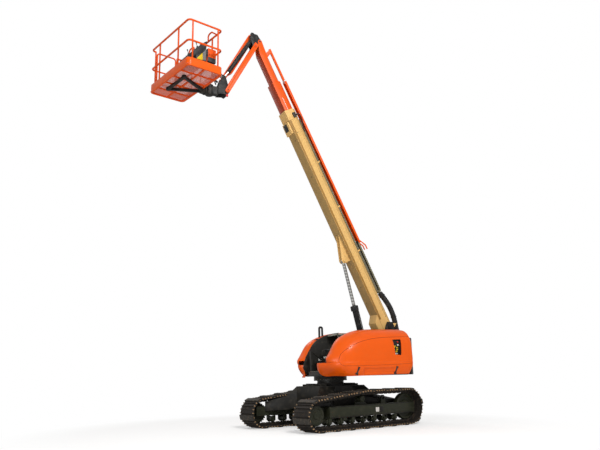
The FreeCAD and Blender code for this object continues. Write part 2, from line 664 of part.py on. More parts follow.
def hood(side):
    """One compartment hood: a shell open below and towards the boom, the left one with a window."""
    low = hood_form(0.0, 0.0, 0.0, True)
    low = low.cut(box(-3000.0, 385.0 if side > 0 else 3000.0, 0.0, VALLEY_HALF, 1000.0, 1230.0))
    low = low.cut(box(-3000.0, 450.0 if side > 0 else 3000.0, 0.0, VALLEY_HALF, 1229.0, 1500.0))
    outer = join([low, hood_form(0.0, 0.0, 0.0, False)])
    inner_low = hood_form(HOOD_WALL, 30.0, 30.0, True)
    inner_high = hood_form(HOOD_WALL, 30.0, 9.0, False)
    inner_low = inner_low.common(box(-3000.0, 3000.0, 0.0, 2000.0, 0.0, 1425.0 - HOOD_WALL))
    shell = outer.cut(inner_low).cut(inner_high)
    wedge = side_plate([(700.0, 1000.0), (700.0, 1112.0), (-1800.0, 1112.0 + HOOD_SLOPE * 1.25),
                        (-1800.0, 1000.0)],
                       0.0, 2000.0)
    shell = shell.cut(wedge)
    if side < 0:
        shell = mirrored(shell)
        for x in EXHAUST_LEGS:
            shell = shell.cut(disc_z(x, EXHAUST_Y, EXHAUST_R + 0.05, 1900.0, 2300.0))
    else:
        shell = shell.cut(side_plate(WINDOW, HOOD_SIDE - 120.0, HOOD_SIDE + 50.0))
    return max(shell.Solids, key=lambda piece: piece.Volume)


def engine_block():
    """Engine and pump as one plain mass under the right hood."""
    return box(-1100.0, -420.0, -1010.0, -580.0, BASE_Z0 + BASE_T, 1700.0)


def exhaust_pipe():
    """Bent pipe that stands on the right hood, both its legs through the hood's top."""
    first, second = EXHAUST_LEGS
    points = [(first, EXHAUST_Y, 1990.0), (first, EXHAUST_Y, EXHAUST_TOP),
              (second, EXHAUST_Y, EXHAUST_TOP),
              (second, EXHAUST_Y, 1990.0)]
    return bent_tube(points, EXHAUST_R, 36.0)


def valley_cover():
    """Sloping cover over the valves at the right side of the boom's space."""
    plate = side_plate([(-240.0, 2084.0), (-240.0, 2116.0), (-420.0, 2150.0), (-1000.0, 2178.0),
                        (-1000.0, 2150.0),
                        (-420.0, 2120.0)], -520.0, -292.0)
    wall = box(-1000.0, -430.0, -300.0, -292.0, BASE_Z0 + BASE_T, 2125.0)
    return join([plate, wall])


def fluid_tank():
    """Hydraulic and fuel tank under the left hood."""
    return box(-700.0, 0.0, 575.0, 960.0, BASE_Z0 + BASE_T, 1720.0)


def control_cabinet():
    """Ground control box behind the left hood's window."""
    return box(-1330.0, -980.0, 640.0, HOOD_SIDE - 95.0, BASE_Z0 + BASE_T, 1950.0)


# ---------------------------------------------------------------- boom pieces
def boom_section(inset, x0, x1):
    """Bent-plate boom section as a solid prism, smaller on every side by inset."""
    half = BASE_W / 2.0 - inset
    low = BASE_BOTTOM + inset
    high = BASE_TOP - inset
    s = BASE_SHOULDER - inset * 0.6
    points = [(-half, low), (half, low), (half, high - s), (half - s, high), (-half + s, high),
              (-half, high - s)]
    return cross_plate(points, x0, x1)


def base_boom():
    """Outer boom section with foot boss, head collar and the lift cylinder's bracket."""
    shell = boom_section(0.0, 0.0, BASE_HEAD).cut(boom_section(TELE_WALL, 330.0, BASE_HEAD + 1.0))
    collar = boom_section(-HEAD_COLLAR_T, BASE_HEAD - HEAD_COLLAR, BASE_HEAD)
    collar = collar.cut(boom_section(TELE_WALL, BASE_HEAD - HEAD_COLLAR - 1.0, BASE_HEAD + 1.0))
    half = BASE_W / 2.0
    guard = box(SENSOR_FROM, SENSOR_TO, -half + 4.0, half - 44.0, BASE_BOTTOM - SENSOR_DEPTH,
                BASE_BOTTOM + 2.0)
    rear = side_plate([(BASE_REAR, BASE_BOTTOM + 80.0), (5.0, BASE_BOTTOM), (5.0, BASE_TOP),
                       (-30.0, BASE_TOP + 85.0),
                       (BASE_REAR, BASE_TOP - 60.0)], -half, half)
    foot = pin_y(0.0, 0.0, 95.0, -half, half)
    gusset = side_plate([(400.0, BASE_BOTTOM + 3.0), (225.0, -322.0), (0.0, -322.0),
                         (-50.0, BASE_BOTTOM + 20.0),
                         (0.0, BASE_BOTTOM + 30.0), (400.0, BASE_BOTTOM + 5.0)], -half + 10.0,
                         half - 10.0)
    body = join([shell, collar, rear, foot, gusset, guard])
    body = body.cut(pin_y(0.0, 0.0, PIVOT_PIN_R + 0.05, -half - 5.0, half + 5.0))
    ears = []
    gap = LIFT_EYE_W / 2.0 + 6.0
    for side in (-1, 1):
        y0 = gap if side > 0 else -gap - 22.0
        ear = side_plate([(LIFT_EYE[0] - 70.0, LIFT_EYE[1]), (LIFT_EYE[0] - 50.0, LIFT_EYE[1] - 50.0),
                          (LIFT_EYE[0] + 20.0, LIFT_EYE[1] - 68.0),
                          (LIFT_EYE[0] + 650.0, BASE_BOTTOM + 3.0),
                          (LIFT_EYE[0] - 64.0, BASE_BOTTOM + 3.0)], y0, y0 + 22.0)
        ears.append(ear)
        stub = pin_y(LIFT_EYE[0], LIFT_EYE[1], 34.0, gap + 5.0 if side > 0 else -gap - 60.0,
                     gap + 60.0 if side > 0 else -gap - 5.0)
        ears.append(stub)
    return join([body] + ears)


def mid_boom():
    """Middle section."""
    inset = TELE_STEP
    shell = boom_section(inset, MID_TAIL, MID_HEAD).cut(boom_section(inset + TELE_WALL, MID_TAIL - 1.0,
                                                                     MID_HEAD + 1.0))
    return shell


def fly_boom():
    """Inner section with the two ears that carry the level pin."""
    inset = 2.0 * TELE_STEP + 10.0
    shell = boom_section(inset, FLY_TAIL, FLY_HEAD).cut(boom_section(inset + TELE_WALL, FLY_TAIL - 1.0,
                                                                     FLY_HEAD + 1.0))
    half = BASE_W / 2.0 - inset
    ears = []
    for side in (-1, 1):
        y0 = half - 16.0 if side > 0 else -half
        ear = side_plate([(FLY_HEAD - 165.0, BASE_BOTTOM + inset + 10.0),
                          (FLY_HEAD + 20.0, BASE_BOTTOM + inset + 10.0),
                          (LEVEL_PIN[0] + 10.0, LEVEL_PIN[1] - 55.0), (LEVEL_PIN[0] + 55.0, LEVEL_PIN[1]),
                          (LEVEL_PIN[0] + 10.0, LEVEL_PIN[1] + 55.0),
                          (FLY_HEAD - 165.0, LEVEL_PIN[1] + 20.0)],
                         y0, y0 + 16.0)
        ears.append(ear)
    shape = join([shell] + ears)
    return shape.cut(pin_y(LEVEL_PIN[0], LEVEL_PIN[1], PIN_R + 0.05, -half - 5.0, half + 5.0))


TUBE_ABOVE = 265.0             # carrier tube's middle above the boom's pin line, at the fly's head
TUBE_SIZE = 50.0
TUBE_TAIL = 2190.0
TRAY_FRONT = 6740.0
TRAY_HALF = 62.0
TRAY_DEPTH = 56.0
TRAY_TILT = 0.45
CHAIN_T = 40.0
CHAIN_LOOP = (905.0, 231.0)    # middle of the chain's loop, along and above
CHAIN_LOOP_R = 68.0
SLEEVE_R = 72.0
CHAIN_FIXED = 1000.0           # lower end of the hose chain's run on the boom


def carrier_tube():
    """Square tube and open tray that the fly carries above the boom for the hose chain."""
    half = TUBE_SIZE / 2.0
    tube = box(TRAY_FRONT - 5.0, FLY_HEAD + 70.0, -half, half, -half, half)
    tray = box(TUBE_TAIL, TRAY_FRONT, -TRAY_HALF, TRAY_HALF, -TRAY_DEPTH / 2.0, TRAY_DEPTH / 2.0)
    tray = tray.cut(box(TUBE_TAIL - 1.0, TRAY_FRONT - 8.0, -TRAY_HALF + 6.0, TRAY_HALF - 6.0, -TRAY_DEPTH,
                        TRAY_DEPTH / 2.0 - 6.0))
    hook = side_plate([(TUBE_TAIL + 60.0, 0.0), (TUBE_TAIL + 60.0, TRAY_DEPTH / 2.0),
                       (TUBE_TAIL - 110.0, 135.0),
                       (TUBE_TAIL - 230.0, 135.0), (TUBE_TAIL - 230.0, 105.0),
                       (TUBE_TAIL - 120.0, 100.0)],
                      TRAY_HALF - 6.0, TRAY_HALF + 4.0)
    rack = join([tube, tray, hook, mirrored(hook)])
    turn = FreeCAD.Rotation(V(0, 1, 0), TRAY_TILT)
    rack.Placement = FreeCAD.Placement(V(0, 0, TUBE_ABOVE), turn,
                                       V(FLY_HEAD, 0, 0)).multiply(rack.Placement)
    low = BASE_TOP - 2.0 * TELE_STEP - 10.0
    bracket = side_plate([(FLY_HEAD - 130.0, low), (FLY_HEAD - 10.0, low), (FLY_HEAD + 60.0, TUBE_ABOVE),
                          (FLY_HEAD - 30.0, TUBE_ABOVE)], -half, half)
    return join([rack, bracket])


def energy_chain():
    """Hose chain: run on the boom, half loop at its lower end and the run back up into the tray."""
    x, z = CHAIN_LOOP
    inner = CHAIN_LOOP_R - CHAIN_T
    low = box(x, BASE_HEAD - HEAD_COLLAR - 20.0, -48.0, 48.0, z - CHAIN_LOOP_R, z - inner)
    high = box(x, TUBE_TAIL + 60.0, -48.0, 48.0, z + inner, z + CHAIN_LOOP_R)
    ring = pin_y(x, z, CHAIN_LOOP_R, -48.0, 48.0).cut(pin_y(x, z, inner, -49.0, 49.0))
    ring = ring.common(box(x - 200.0, x + 0.5, -60.0, 60.0, z - 200.0, z + 200.0))
    return join([low, high, ring])


def hose_sleeve():
    """Thick bundle of hoses from the boom's lower end down into the turntable."""
    x, z = CHAIN_LOOP
    points = [boom_point(x - 100.0, 262.0), boom_point(500.0, 362.0), boom_point(110.0, 356.0),
              boom_point(-190.0, 262.0), (-2002.0, 2060.0)]
    return bent_tube([(a, 0.0, b) for a, b in points], SLEEVE_R, 300.0)


# ---------------------------------------------------------------- lift cylinder
def lift_axis():
    """Ends of the lift cylinder and its length."""
    eye = boom_point(*LIFT_EYE)
    length = math.hypot(eye[0] - LIFT_FOOT[0], eye[1] - LIFT_FOOT[1])
    return eye, length


def lift_barrel():
    """Barrel with its lower eye and gland."""
    eye, length = lift_axis()
    end = length - LIFT_ROD_SHOWN
    tube = Part.makeCylinder(LIFT_BARREL_R, end - 85.0, V(85.0, 0, 0), V(1, 0, 0))
    neck = box(0.0, 90.0, -LIFT_EYE_W / 2.0, LIFT_EYE_W / 2.0, -42.0, 42.0)
    gland = Part.makeCylinder(LIFT_BARREL_R + 20.0, 55.0, V(end - 50.0, 0, 0), V(1, 0, 0))
    foot = pin_y(0, 0, LIFT_EYE_R, -LIFT_EYE_W / 2.0, LIFT_EYE_W / 2.0)
    shape = join([tube, neck, gland, foot])
    shape = shape.cut(pin_y(0, 0, LIFT_PIN_R + 0.05, -LIFT_EYE_W, LIFT_EYE_W))
    bore = Part.makeCylinder(LIFT_ROD_R + 0.5, end - 90.0, V(100.0, 0, 0), V(1, 0, 0))
    return on_bar(shape.cut(bore), LIFT_FOOT, eye)


def lift_rod():
    """Rod with its upper eye."""
    eye, length = lift_axis()
    end = length - LIFT_ROD_SHOWN
    bar = Part.makeCylinder(LIFT_ROD_R, length - end + 60.0 - LIFT_EYE_R + 12.0, V(end - 60.0, 0, 0),
                            V(1, 0, 0))
    head = pin_y(length, 0, LIFT_EYE_R, -LIFT_EYE_W / 2.0, LIFT_EYE_W / 2.0)
    shape = join([bar, head]).cut(pin_y(length, 0, 34.0, -LIFT_EYE_W, LIFT_EYE_W))
    return on_bar(shape, LIFT_FOOT, eye)


# ---------------------------------------------------------------- jib
def jib_base():
    """Level casting between the fly and the jib, with its pins."""
    level = boom_point(*LEVEL_PIN)
    ear = 16.0
    inner = BASE_W / 2.0 - 2.0 * TELE_STEP - 10.0 - ear - WALL_GAP
    hub = pin_y(level[0], level[1], 58.0, -inner, inner)
    level_pin = pin_y(level[0], level[1], PIN_R, -inner - WALL_GAP - ear, inner + WALL_GAP + ear)
    left = JIB_LINK_Y - JIB_LINK_W / 2.0 - WALL_GAP - 3.0
    cheek_outline = [(JIB_LINK_PIN[0] - 42.0, JIB_LINK_PIN[1] - 20.0),
                     (JIB_LINK_PIN[0] - 10.0, JIB_LINK_PIN[1] - 48.0),
                     (JIB_LINK_PIN[0] + 35.0, JIB_LINK_PIN[1] - 30.0),
                     (JIB_CYL_TOP[0] + 42.0, JIB_CYL_TOP[1] - 10.0),
                     (JIB_ARM_PIN[0] + 45.0, JIB_ARM_PIN[1] + 5.0),
                     (JIB_ARM_PIN[0] + 20.0, JIB_ARM_PIN[1] + 48.0),
                     (JIB_ARM_PIN[0] - 30.0, JIB_ARM_PIN[1] + 55.0), (level[0] + 75.0, level[1] + 125.0),
                     (level[0] + 72.0, level[1] - 60.0)]
    cheeks = [side_plate(cheek_outline, left - 12.0, left),
              side_plate(cheek_outline, -left, -left + 12.0)]
    back_outline = [(level[0] - 20.0, level[1] - 54.0), (level[0] + 95.0, level[1] - 100.0),
                    (level[0] + 105.0, level[1] + 20.0), (level[0] + 130.0, level[1] + 190.0),
                    (level[0] + 60.0, level[1] + 185.0), (level[0] - 40.0, level[1] + 42.0)]
    back = side_plate(back_outline, -inner, inner)
    web = box(level[0] + 72.0, level[0] + 90.0, -left, left, level[1] - 55.0, level[1] + 120.0)
    arm_pin = pin_y(JIB_ARM_PIN[0], JIB_ARM_PIN[1], PIN_R, -left, PIN_STOP_Y)
    cyl_pin = pin_y(JIB_CYL_TOP[0], JIB_CYL_TOP[1], 20.0, 0.0, left)
    return join([hub, level_pin, back, web, arm_pin, cyl_pin] + cheeks + link_stubs(JIB_LINK_PIN))


def link_stubs(pin):
    """Short pins on both cheeks that the link's bars turn on."""
    left = JIB_LINK_Y - JIB_LINK_W / 2.0 - WALL_GAP - 3.0
    end = JIB_LINK_Y + JIB_LINK_W / 2.0 + 10.0
    return [pin_y(pin[0], pin[1], PIN_R, left - 6.0, end),
            pin_y(pin[0], pin[1], PIN_R, -end, -left + 6.0)]


def jib_arm():
    """Upper jib member."""
    half = JIB_ARM_D / 2.0
    y0 = JIB_ARM_Y - JIB_ARM_W / 2.0
    inner = -half - JIB_ARM_BELLY
    bar = side_plate([(0.0, half), (JIB_LENGTH, half), (JIB_LENGTH, -half), (JIB_LENGTH - 190.0, -half),
                      (JIB_LENGTH - 330.0, inner), (330.0, inner), (190.0, -half), (0.0, -half)], y0,
                      y0 + JIB_ARM_W)
    ends = [pin_y(0.0, 0.0, half, y0, y0 + JIB_ARM_W), pin_y(JIB_LENGTH, 0.0, half, y0, y0 + JIB_ARM_W)]
    shape = join([bar] + ends)
    for x in (0.0, JIB_LENGTH):
        shape = shape.cut(pin_y(x, 0.0, PIN_R + 0.05, y0 - 1.0, y0 + JIB_ARM_W + 1.0))
    return on_bar(shape, JIB_ARM_PIN, jib_end_pin())


def jib_link():
    """Lower jib member: two flat bars side by side."""
    half = JIB_LINK_D / 2.0
    solids = []
    for side in (-1, 1):
        y0 = side * JIB_LINK_Y - JIB_LINK_W / 2.0
        bar = box(-JIB_LINK_TAIL, JIB_LENGTH, y0, y0 + JIB_LINK_W, -half, half)
        bar = join([bar, pin_y(0.0, 0.0, half, y0, y0 + JIB_LINK_W),
                    pin_y(JIB_LENGTH, 0.0, half, y0, y0 + JIB_LINK_W)])
        for x in (0.0, JIB_LENGTH):
            bar = bar.cut(pin_y(x, 0.0, PIN_R + 0.05, y0 - 1.0, y0 + JIB_LINK_W + 1.0))
        solids.append(bar)
    return on_bar(group(solids), JIB_LINK_PIN, jib_link_end())


def jib_rod_end():
    """X and Z of the jib cylinder's lower eye, in line with the arm's pin."""
    return jib_end_pin()


def jib_cylinder_length():
    """Pin to pin length of the jib cylinder."""
    end = jib_rod_end()
    return math.hypot(end[0] - JIB_CYL_TOP[0], end[1] - JIB_CYL_TOP[1])


def jib_barrel():
    """Jib cylinder's barrel, its eye at the casting."""
    length = jib_cylinder_length()
    end = length - 240.0
    tube = Part.makeCylinder(JIB_CYL_R, end - 50.0, V(50.0, JIB_CYL_Y, 0), V(1, 0, 0))
    eye = pin_y(0, 0, 38.0, JIB_CYL_Y - 25.0, JIB_CYL_Y + 25.0)
    neck = box(0.0, 60.0, JIB_CYL_Y - 25.0, JIB_CYL_Y + 25.0, -25.0, 25.0)
    shape = join([tube, eye, neck]).cut(pin_y(0, 0, 20.05, 0.0, 200.0))
    bore = Part.makeCylinder(JIB_ROD_R + 0.5, end - 200.0, V(210.0, JIB_CYL_Y, 0), V(1, 0, 0))
    return on_bar(shape.cut(bore), JIB_CYL_TOP, jib_rod_end())


def jib_rod():
    """Jib cylinder's rod, its eye at the end bracket."""
    length = jib_cylinder_length()
    start = length - 240.0 - 320.0
    bar = Part.makeCylinder(JIB_ROD_R, length - start - 30.0, V(start, JIB_CYL_Y, 0), V(1, 0, 0))
    eye = pin_y(length, 0, 38.0, JIB_CYL_Y - 20.0, JIB_CYL_Y + 20.0)
    shape = join([bar, eye]).cut(pin_y(length, 0, 22.0, 0.0, 200.0))
    return on_bar(shape, JIB_CYL_TOP, jib_rod_end())


def jib_end():
    """Lower bracket of the jib, always level, with the rotator's housing."""
    arm = jib_end_pin()
    link = jib_link_end()
    left = JIB_LINK_Y - JIB_LINK_W / 2.0 - WALL_GAP - 3.0
    outline = [(arm[0] + 48.0, arm[1] + 45.0), (arm[0] - 30.0, arm[1] + 52.0),
               (link[0] - 50.0, link[1] + 35.0),
               (link[0] - 52.0, link[1] - 40.0), (link[0] + 20.0, link[1] - 120.0),
               (link[0] + 75.0, link[1] - 95.0),
               (ROTATOR_X - 190.0, FLOOR_Z - 60.0), (ROTATOR_X - 190.0, FLOOR_Z + 140.0)]
    cheeks = [side_plate(outline, left - 12.0, left), side_plate(outline, -left, -left + 12.0)]
    arm_pin = pin_y(arm[0], arm[1], PIN_R, -left, PIN_STOP_Y)
    housing = disc_z(ROTATOR_X, 0.0, 92.0, FLOOR_Z - 60.0, FLOOR_Z + 140.0)
    web = box(ROTATOR_X - 205.0, ROTATOR_X - 190.0, -left, left, FLOOR_Z - 60.0, FLOOR_Z + 140.0)
    neck = box(ROTATOR_X - 195.0, ROTATOR_X - 50.0, -70.0, 70.0, FLOOR_Z - 60.0, FLOOR_Z + 140.0)
    return join([arm_pin, housing, web, neck] + cheeks + link_stubs(link))


# ---------------------------------------------------------------- platform
def rotator_arm():
    """Turning bracket between the rotator and the frame under the floor."""
    x = -PLATFORM_OFFSET
    top = disc_z(x, 0.0, 95.0, 145.0, 170.0)
    bottom = disc_z(x, 0.0, 95.0, -90.0, -65.0)
    yoke = box(x + 105.0, x + 140.0, -75.0, 75.0, -90.0, 170.0)
    arms = [box(x, x + 120.0, -60.0, 60.0, 145.0, 170.0), box(x, x + 120.0, -60.0, 60.0, -90.0, -65.0)]
    spigot = disc_z(x, 0.0, 30.0, -90.0, -60.5)
    return on_platform(join([top, bottom, yoke, spigot] + arms))


def platform_support():
    """Triangle of square tube under the floor."""
    size = 60.0
    face = -PLATFORM_OFFSET + 140.0
    apex = (face, 0.0)
    nodes = [(240.0, 380.0), (240.0, -380.0)]
    pieces = []
    for node in nodes:
        pieces.append(flat_bar(apex, node, size, -size - 2.0, -2.0))
    pieces.append(flat_bar(nodes[0], nodes[1], size, -size - 2.0, -2.0))
    for node in nodes:
        pieces.append(disc_z(node[0], node[1], size * 0.9, -size - 2.0, 0.0))
    pieces.append(box(face, face + 90.0, -70.0, 70.0, -size - 20.0, -2.0))
    shape = join(pieces)
    return on_platform(shape.cut(box(face - 200.0, face, -200.0, 200.0, -200.0, 100.0)))


def flat_bar(a, b, width, z0, z1):
    """Square bar lying flat between two X, Y points."""
    length = math.hypot(b[0] - a[0], b[1] - a[1])
    nx = -(b[1] - a[1]) / length * width / 2.0
    ny = (b[0] - a[0]) / length * width / 2.0
    return plan_plate([(a[0] + nx, a[1] + ny), (b[0] + nx, b[1] + ny), (b[0] - nx, b[1] - ny),
                       (a[0] - nx, a[1] - ny)],
                      z0, z1)


def rounded_block(half_x, half_y, radius, z0, z1):
    """Block with its four upright edges rounded."""
    block = box(-half_x, half_x, -half_y, half_y, z0, z1)
    upright = [e for e in block.Edges if abs(e.Vertexes[0].Z - e.Vertexes[1].Z) > 1e-3]
    return block.makeFillet(radius, upright)


def platform_floor():
    """Floor frame: rim and cross ribs under the mesh."""
    hx = PLATFORM_D / 2.0 - SKIRT_T
    hy = PLATFORM_W / 2.0 - SKIRT_T
    corner = SKIRT_CORNER - SKIRT_T
    rim = rounded_block(hx, hy, corner, 0.0, FLOOR_T - MESH_T)
    rim = rim.cut(rounded_block(hx - 38.0, hy - 38.0, corner - 30.0, -1.0, FLOOR_T))
    pieces = [rim]
    for i in range(1, FLOOR_BAYS):
        y = -hy + 2.0 * hy * i / FLOOR_BAYS
        pieces.append(box(-hx + 5.0, hx - 5.0, y - 14.0, y + 14.0, 0.0, FLOOR_T - MESH_T))
    pieces.append(box(-16.0, 16.0, -hy + 5.0, hy - 5.0, 0.0, FLOOR_T - MESH_T))
    return on_platform(join(pieces))


def floor_mesh():
    """Expanded metal that lies on the floor frame."""
    hx = PLATFORM_D / 2.0 - SKIRT_T
    hy = PLATFORM_W / 2.0 - SKIRT_T
    return on_platform(rounded_block(hx, hy, SKIRT_CORNER - SKIRT_T, FLOOR_T - MESH_T, FLOOR_T))


def platform_skirt():
    """Kick plate round the floor."""
    hx = PLATFORM_D / 2.0
    hy = PLATFORM_W / 2.0
    outer = rounded_block(hx, hy, SKIRT_CORNER, 0.0, SKIRT_H)
    return on_platform(outer.cut(rounded_block(hx - SKIRT_T, hy - SKIRT_T, SKIRT_CORNER - SKIRT_T, -1.0,
                                               SKIRT_H + 1.0)))


def rail_tubes():
    """Guard rails and posts in the platform's own frame."""
    hx = PLATFORM_D / 2.0 - RAIL_IN
    hy = PLATFORM_W / 2.0 - RAIL_IN
    pieces = []
    for z in (RAIL_MID, RAIL_TOP - RAIL_R):
        pieces.append(bent_tube([(GATE_X1, -hy, z), (hx, -hy, z), (hx, hy, z), (-hx, hy, z),
                                 (-hx, -hy, z),
                                 (GATE_X0, -hy, z)], RAIL_R, 78.0))
    posts = [(hx, 430.0), (hx, -480.0), (-hx, 480.0), (-hx, -480.0), (330.0, hy), (-330.0, hy),
             (GATE_X1, -hy), (GATE_X0, -hy)]
    for x, y in posts:
        pieces.append(rod((x, y, FLOOR_T), (x, y, RAIL_TOP - RAIL_R), POST_R))
    return join(pieces)


def platform_rails():
    """Guard rails and posts."""
    return on_platform(rail_tubes())


GATE_X0 = -245.0
GATE_X1 = 335.0


def gate_hinge():
    """Gate hinge's X and Y in the platform's frame, the sign of its axis and its opening angle."""
    return (GATE_X1 - RAIL_R - 22.0, -(PLATFORM_W / 2.0 - RAIL_IN), -1.0, 90.0)


def platform_gate():
    """Swing gate at the platform's end."""
    y = -(PLATFORM_W / 2.0 - RAIL_IN)
    x0 = GATE_X0 + RAIL_R + 22.0
    x1 = GATE_X1 - RAIL_R - 22.0
    loop = bent_tube([(x1, y, 260.0), (x1, y, RAIL_TOP - 40.0), (x0, y, RAIL_TOP - 40.0), (x0, y, 260.0)],
                     15.0, 70.0)
    bar = rod((x0, y, 290.0), (x1, y, 290.0), 15.0)
    mid = rod((x0, y, RAIL_MID), (x1, y, RAIL_MID), 15.0)
    return on_platform(join([loop, bar, mid]))


def console():
    """Platform control console on the boom side: a desk that slopes up away from the operator."""
    x = -PLATFORM_D / 2.0 + CONSOLE_IN
    base = side_plate([(x, 620.0), (x + 272.0, 600.0), (x + 272.0, 700.0), (x + 137.0, 856.0),
                       (x, 1000.0)],
                      CONSOLE_Y0 + 8.0, CONSOLE_Y1 - 8.0)
    desk = side_plate([(x, 985.0), (x + 34.0, 958.0), (x + 137.0, 853.0), (x + 258.0, 713.0),
                       (x + 328.0, 660.0),
                       (x + 342.0, 800.0), (x + 231.0, 931.0), (x + 140.0, 1023.0), (x + 57.0, 1102.0),
                       (x, 1150.0)], CONSOLE_Y0, CONSOLE_Y1)
    return on_platform(join([base, desk]))


def console_box():
    """Narrow tool box beside the console, on the boom side."""
    x = -PLATFORM_D / 2.0 + CONSOLE_IN
    upper = box(x, x + 210.0, 600.0, 690.0, 485.0, 704.0)
    lower = box(x, x + 210.0, 604.0, 686.0, 378.0, 486.0)
    return on_platform(join([upper, lower]))


def console_guards():
    """Hoops that guard the console and the hoses."""
    x = -PLATFORM_D / 2.0 + RAIL_IN
    z = RAIL_TOP - RAIL_R
    hoops = []
    for ya, yb, yc in ((290.0, 450.0, 690.0), (-380.0, -620.0, -620.0)):
        hoops.append(bent_tube([(x, ya, z), (x, ya, HOOP_TOP), (x, yb, HOOP_TOP), (x, yc, z)], HOOP_R,
                               70.0))
    return on_platform(join(hoops).cut(rail_tubes()))


# ---------------------------------------------------------------- build
def build_parts():
    """All nodes by name, before the common shift: undercarriage straight, upper works slewed."""
    fixed = {
        "carbody": carbody(),
        "slewing_ring": slewing_ring(),
    }
    for name, side in (("left", 1), ("right", -1)):
        fixed["track_belt_" + name] = track_belt(side)
        fixed["track_frame_" + name] = side_beam(side)
        fixed["track_rollers_" + name] = track_rollers(side)
        fixed["idler_" + name] = idler_wheel(side)
        fixed["final_drive_" + name] = final_drive(side)
    upper = {
        "turntable_frame": turntable_frame(),
        "counterweight": counterweight(),
        "valley_side_left": valley_side(1),
        "valley_side_right": valley_side(-1),
        "hood_left": hood(1),
        "hood_right": hood(-1),
        "engine": engine_block(),
        "exhaust_pipe": exhaust_pipe(),
        "valley_cover": valley_cover(),
        "fluid_tank": fluid_tank(),
        "control_cabinet": control_cabinet(),
        "base_boom": on_boom(base_boom()),
        "mid_boom": on_boom(mid_boom()),
        "fly_boom": on_boom(fly_boom()),
        "carrier_tube": on_boom(carrier_tube()),
        "energy_chain": on_boom(energy_chain()),
        "hose_sleeve": hose_sleeve(),
        "lift_barrel": lift_barrel(),
        "lift_rod": lift_rod(),
        "jib_base": jib_base(),
        "jib_arm": jib_arm(),
        "jib_link": jib_link(),
        "jib_barrel": jib_barrel(),
        "jib_rod": jib_rod(),
        "jib_end": jib_end(),
        "rotator_arm": rotator_arm(),
        "platform_support": platform_support(),
        "platform_floor": platform_floor(),
        "floor_mesh": floor_mesh(),
        "platform_skirt": platform_skirt(),
        "platform_rails": platform_rails(),
        "console_guards": console_guards(),
        "platform_gate": platform_gate(),
        "console": console(),
        "console_box": console_box(),
    }
    parts = dict(fixed)
    for name, shape in upper.items():
        parts[name] = slewed(shape)
    return parts


def common_shift(parts):
    """Vector that brings the middle of the overall box's base to the origin."""
    total = FreeCAD.BoundBox()
    for shape in parts.values():
        total.add(shape.optimalBoundingBox(False))
    return V(-(total.XMin + total.XMax) / 2.0, -(total.YMin + total.YMax) / 2.0, -total.ZMin)


def main():
    os.makedirs("parts", exist_ok=True)
    parts = build_parts()
    shift = common_shift(parts)
    for name, shape in parts.items():
        moved = shape.copy()
        moved.translate(shift)
        moved.exportStep("parts/" + name + ".step")
        print(name, len(moved.Solids), round(moved.Volume / 1e6, 2), moved.isValid())
    print("shift", round(shift.x, 3), round(shift.y, 3), round(shift.z, 3))


if __name__ == "__main__":
    main()
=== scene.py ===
"""Looks of a telescopic boom lift on crawler tracks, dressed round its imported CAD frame."""
import logging
import math
from dataclasses import dataclass
from enum import Enum
from typing import Callable, Iterable, Optional, Sequence

import bmesh
import bpy
from mathutils import Matrix, Vector
from mathutils.bvhtree import BVHTree


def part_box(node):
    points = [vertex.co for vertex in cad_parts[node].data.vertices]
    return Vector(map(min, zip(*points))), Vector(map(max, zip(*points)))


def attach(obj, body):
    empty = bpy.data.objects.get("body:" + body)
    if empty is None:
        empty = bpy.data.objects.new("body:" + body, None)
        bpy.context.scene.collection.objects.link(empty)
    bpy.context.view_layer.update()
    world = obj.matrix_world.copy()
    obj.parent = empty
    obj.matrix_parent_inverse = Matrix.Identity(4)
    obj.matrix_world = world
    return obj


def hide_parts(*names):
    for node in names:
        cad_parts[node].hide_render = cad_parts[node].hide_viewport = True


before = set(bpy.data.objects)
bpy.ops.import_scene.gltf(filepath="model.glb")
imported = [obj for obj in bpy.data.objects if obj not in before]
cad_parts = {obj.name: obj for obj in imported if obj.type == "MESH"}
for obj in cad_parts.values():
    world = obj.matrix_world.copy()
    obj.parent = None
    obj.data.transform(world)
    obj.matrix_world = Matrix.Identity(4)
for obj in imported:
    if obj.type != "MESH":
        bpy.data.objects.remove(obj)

log = logging.getLogger("boom_lift")
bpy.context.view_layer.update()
Obj = bpy.types.Object
Tree = bpy.types.ShaderNodeTree
Point2 = tuple[float, float]
Point3 = tuple[float, float, float]


# ---------------------------------------------------------------- places
class Place(Enum):
    """Frames that the machine's sub-assemblies are drawn in."""

    CHASSIS = "chassis"
    UPPER = "upper"
    BOOM = "boom"
    LIFT = "lift"
    JIB_ARM = "jib_arm"
    JIB_LINK = "jib_link"
    JIB_CYLINDER = "jib_cylinder"
    PLATFORM = "platform"


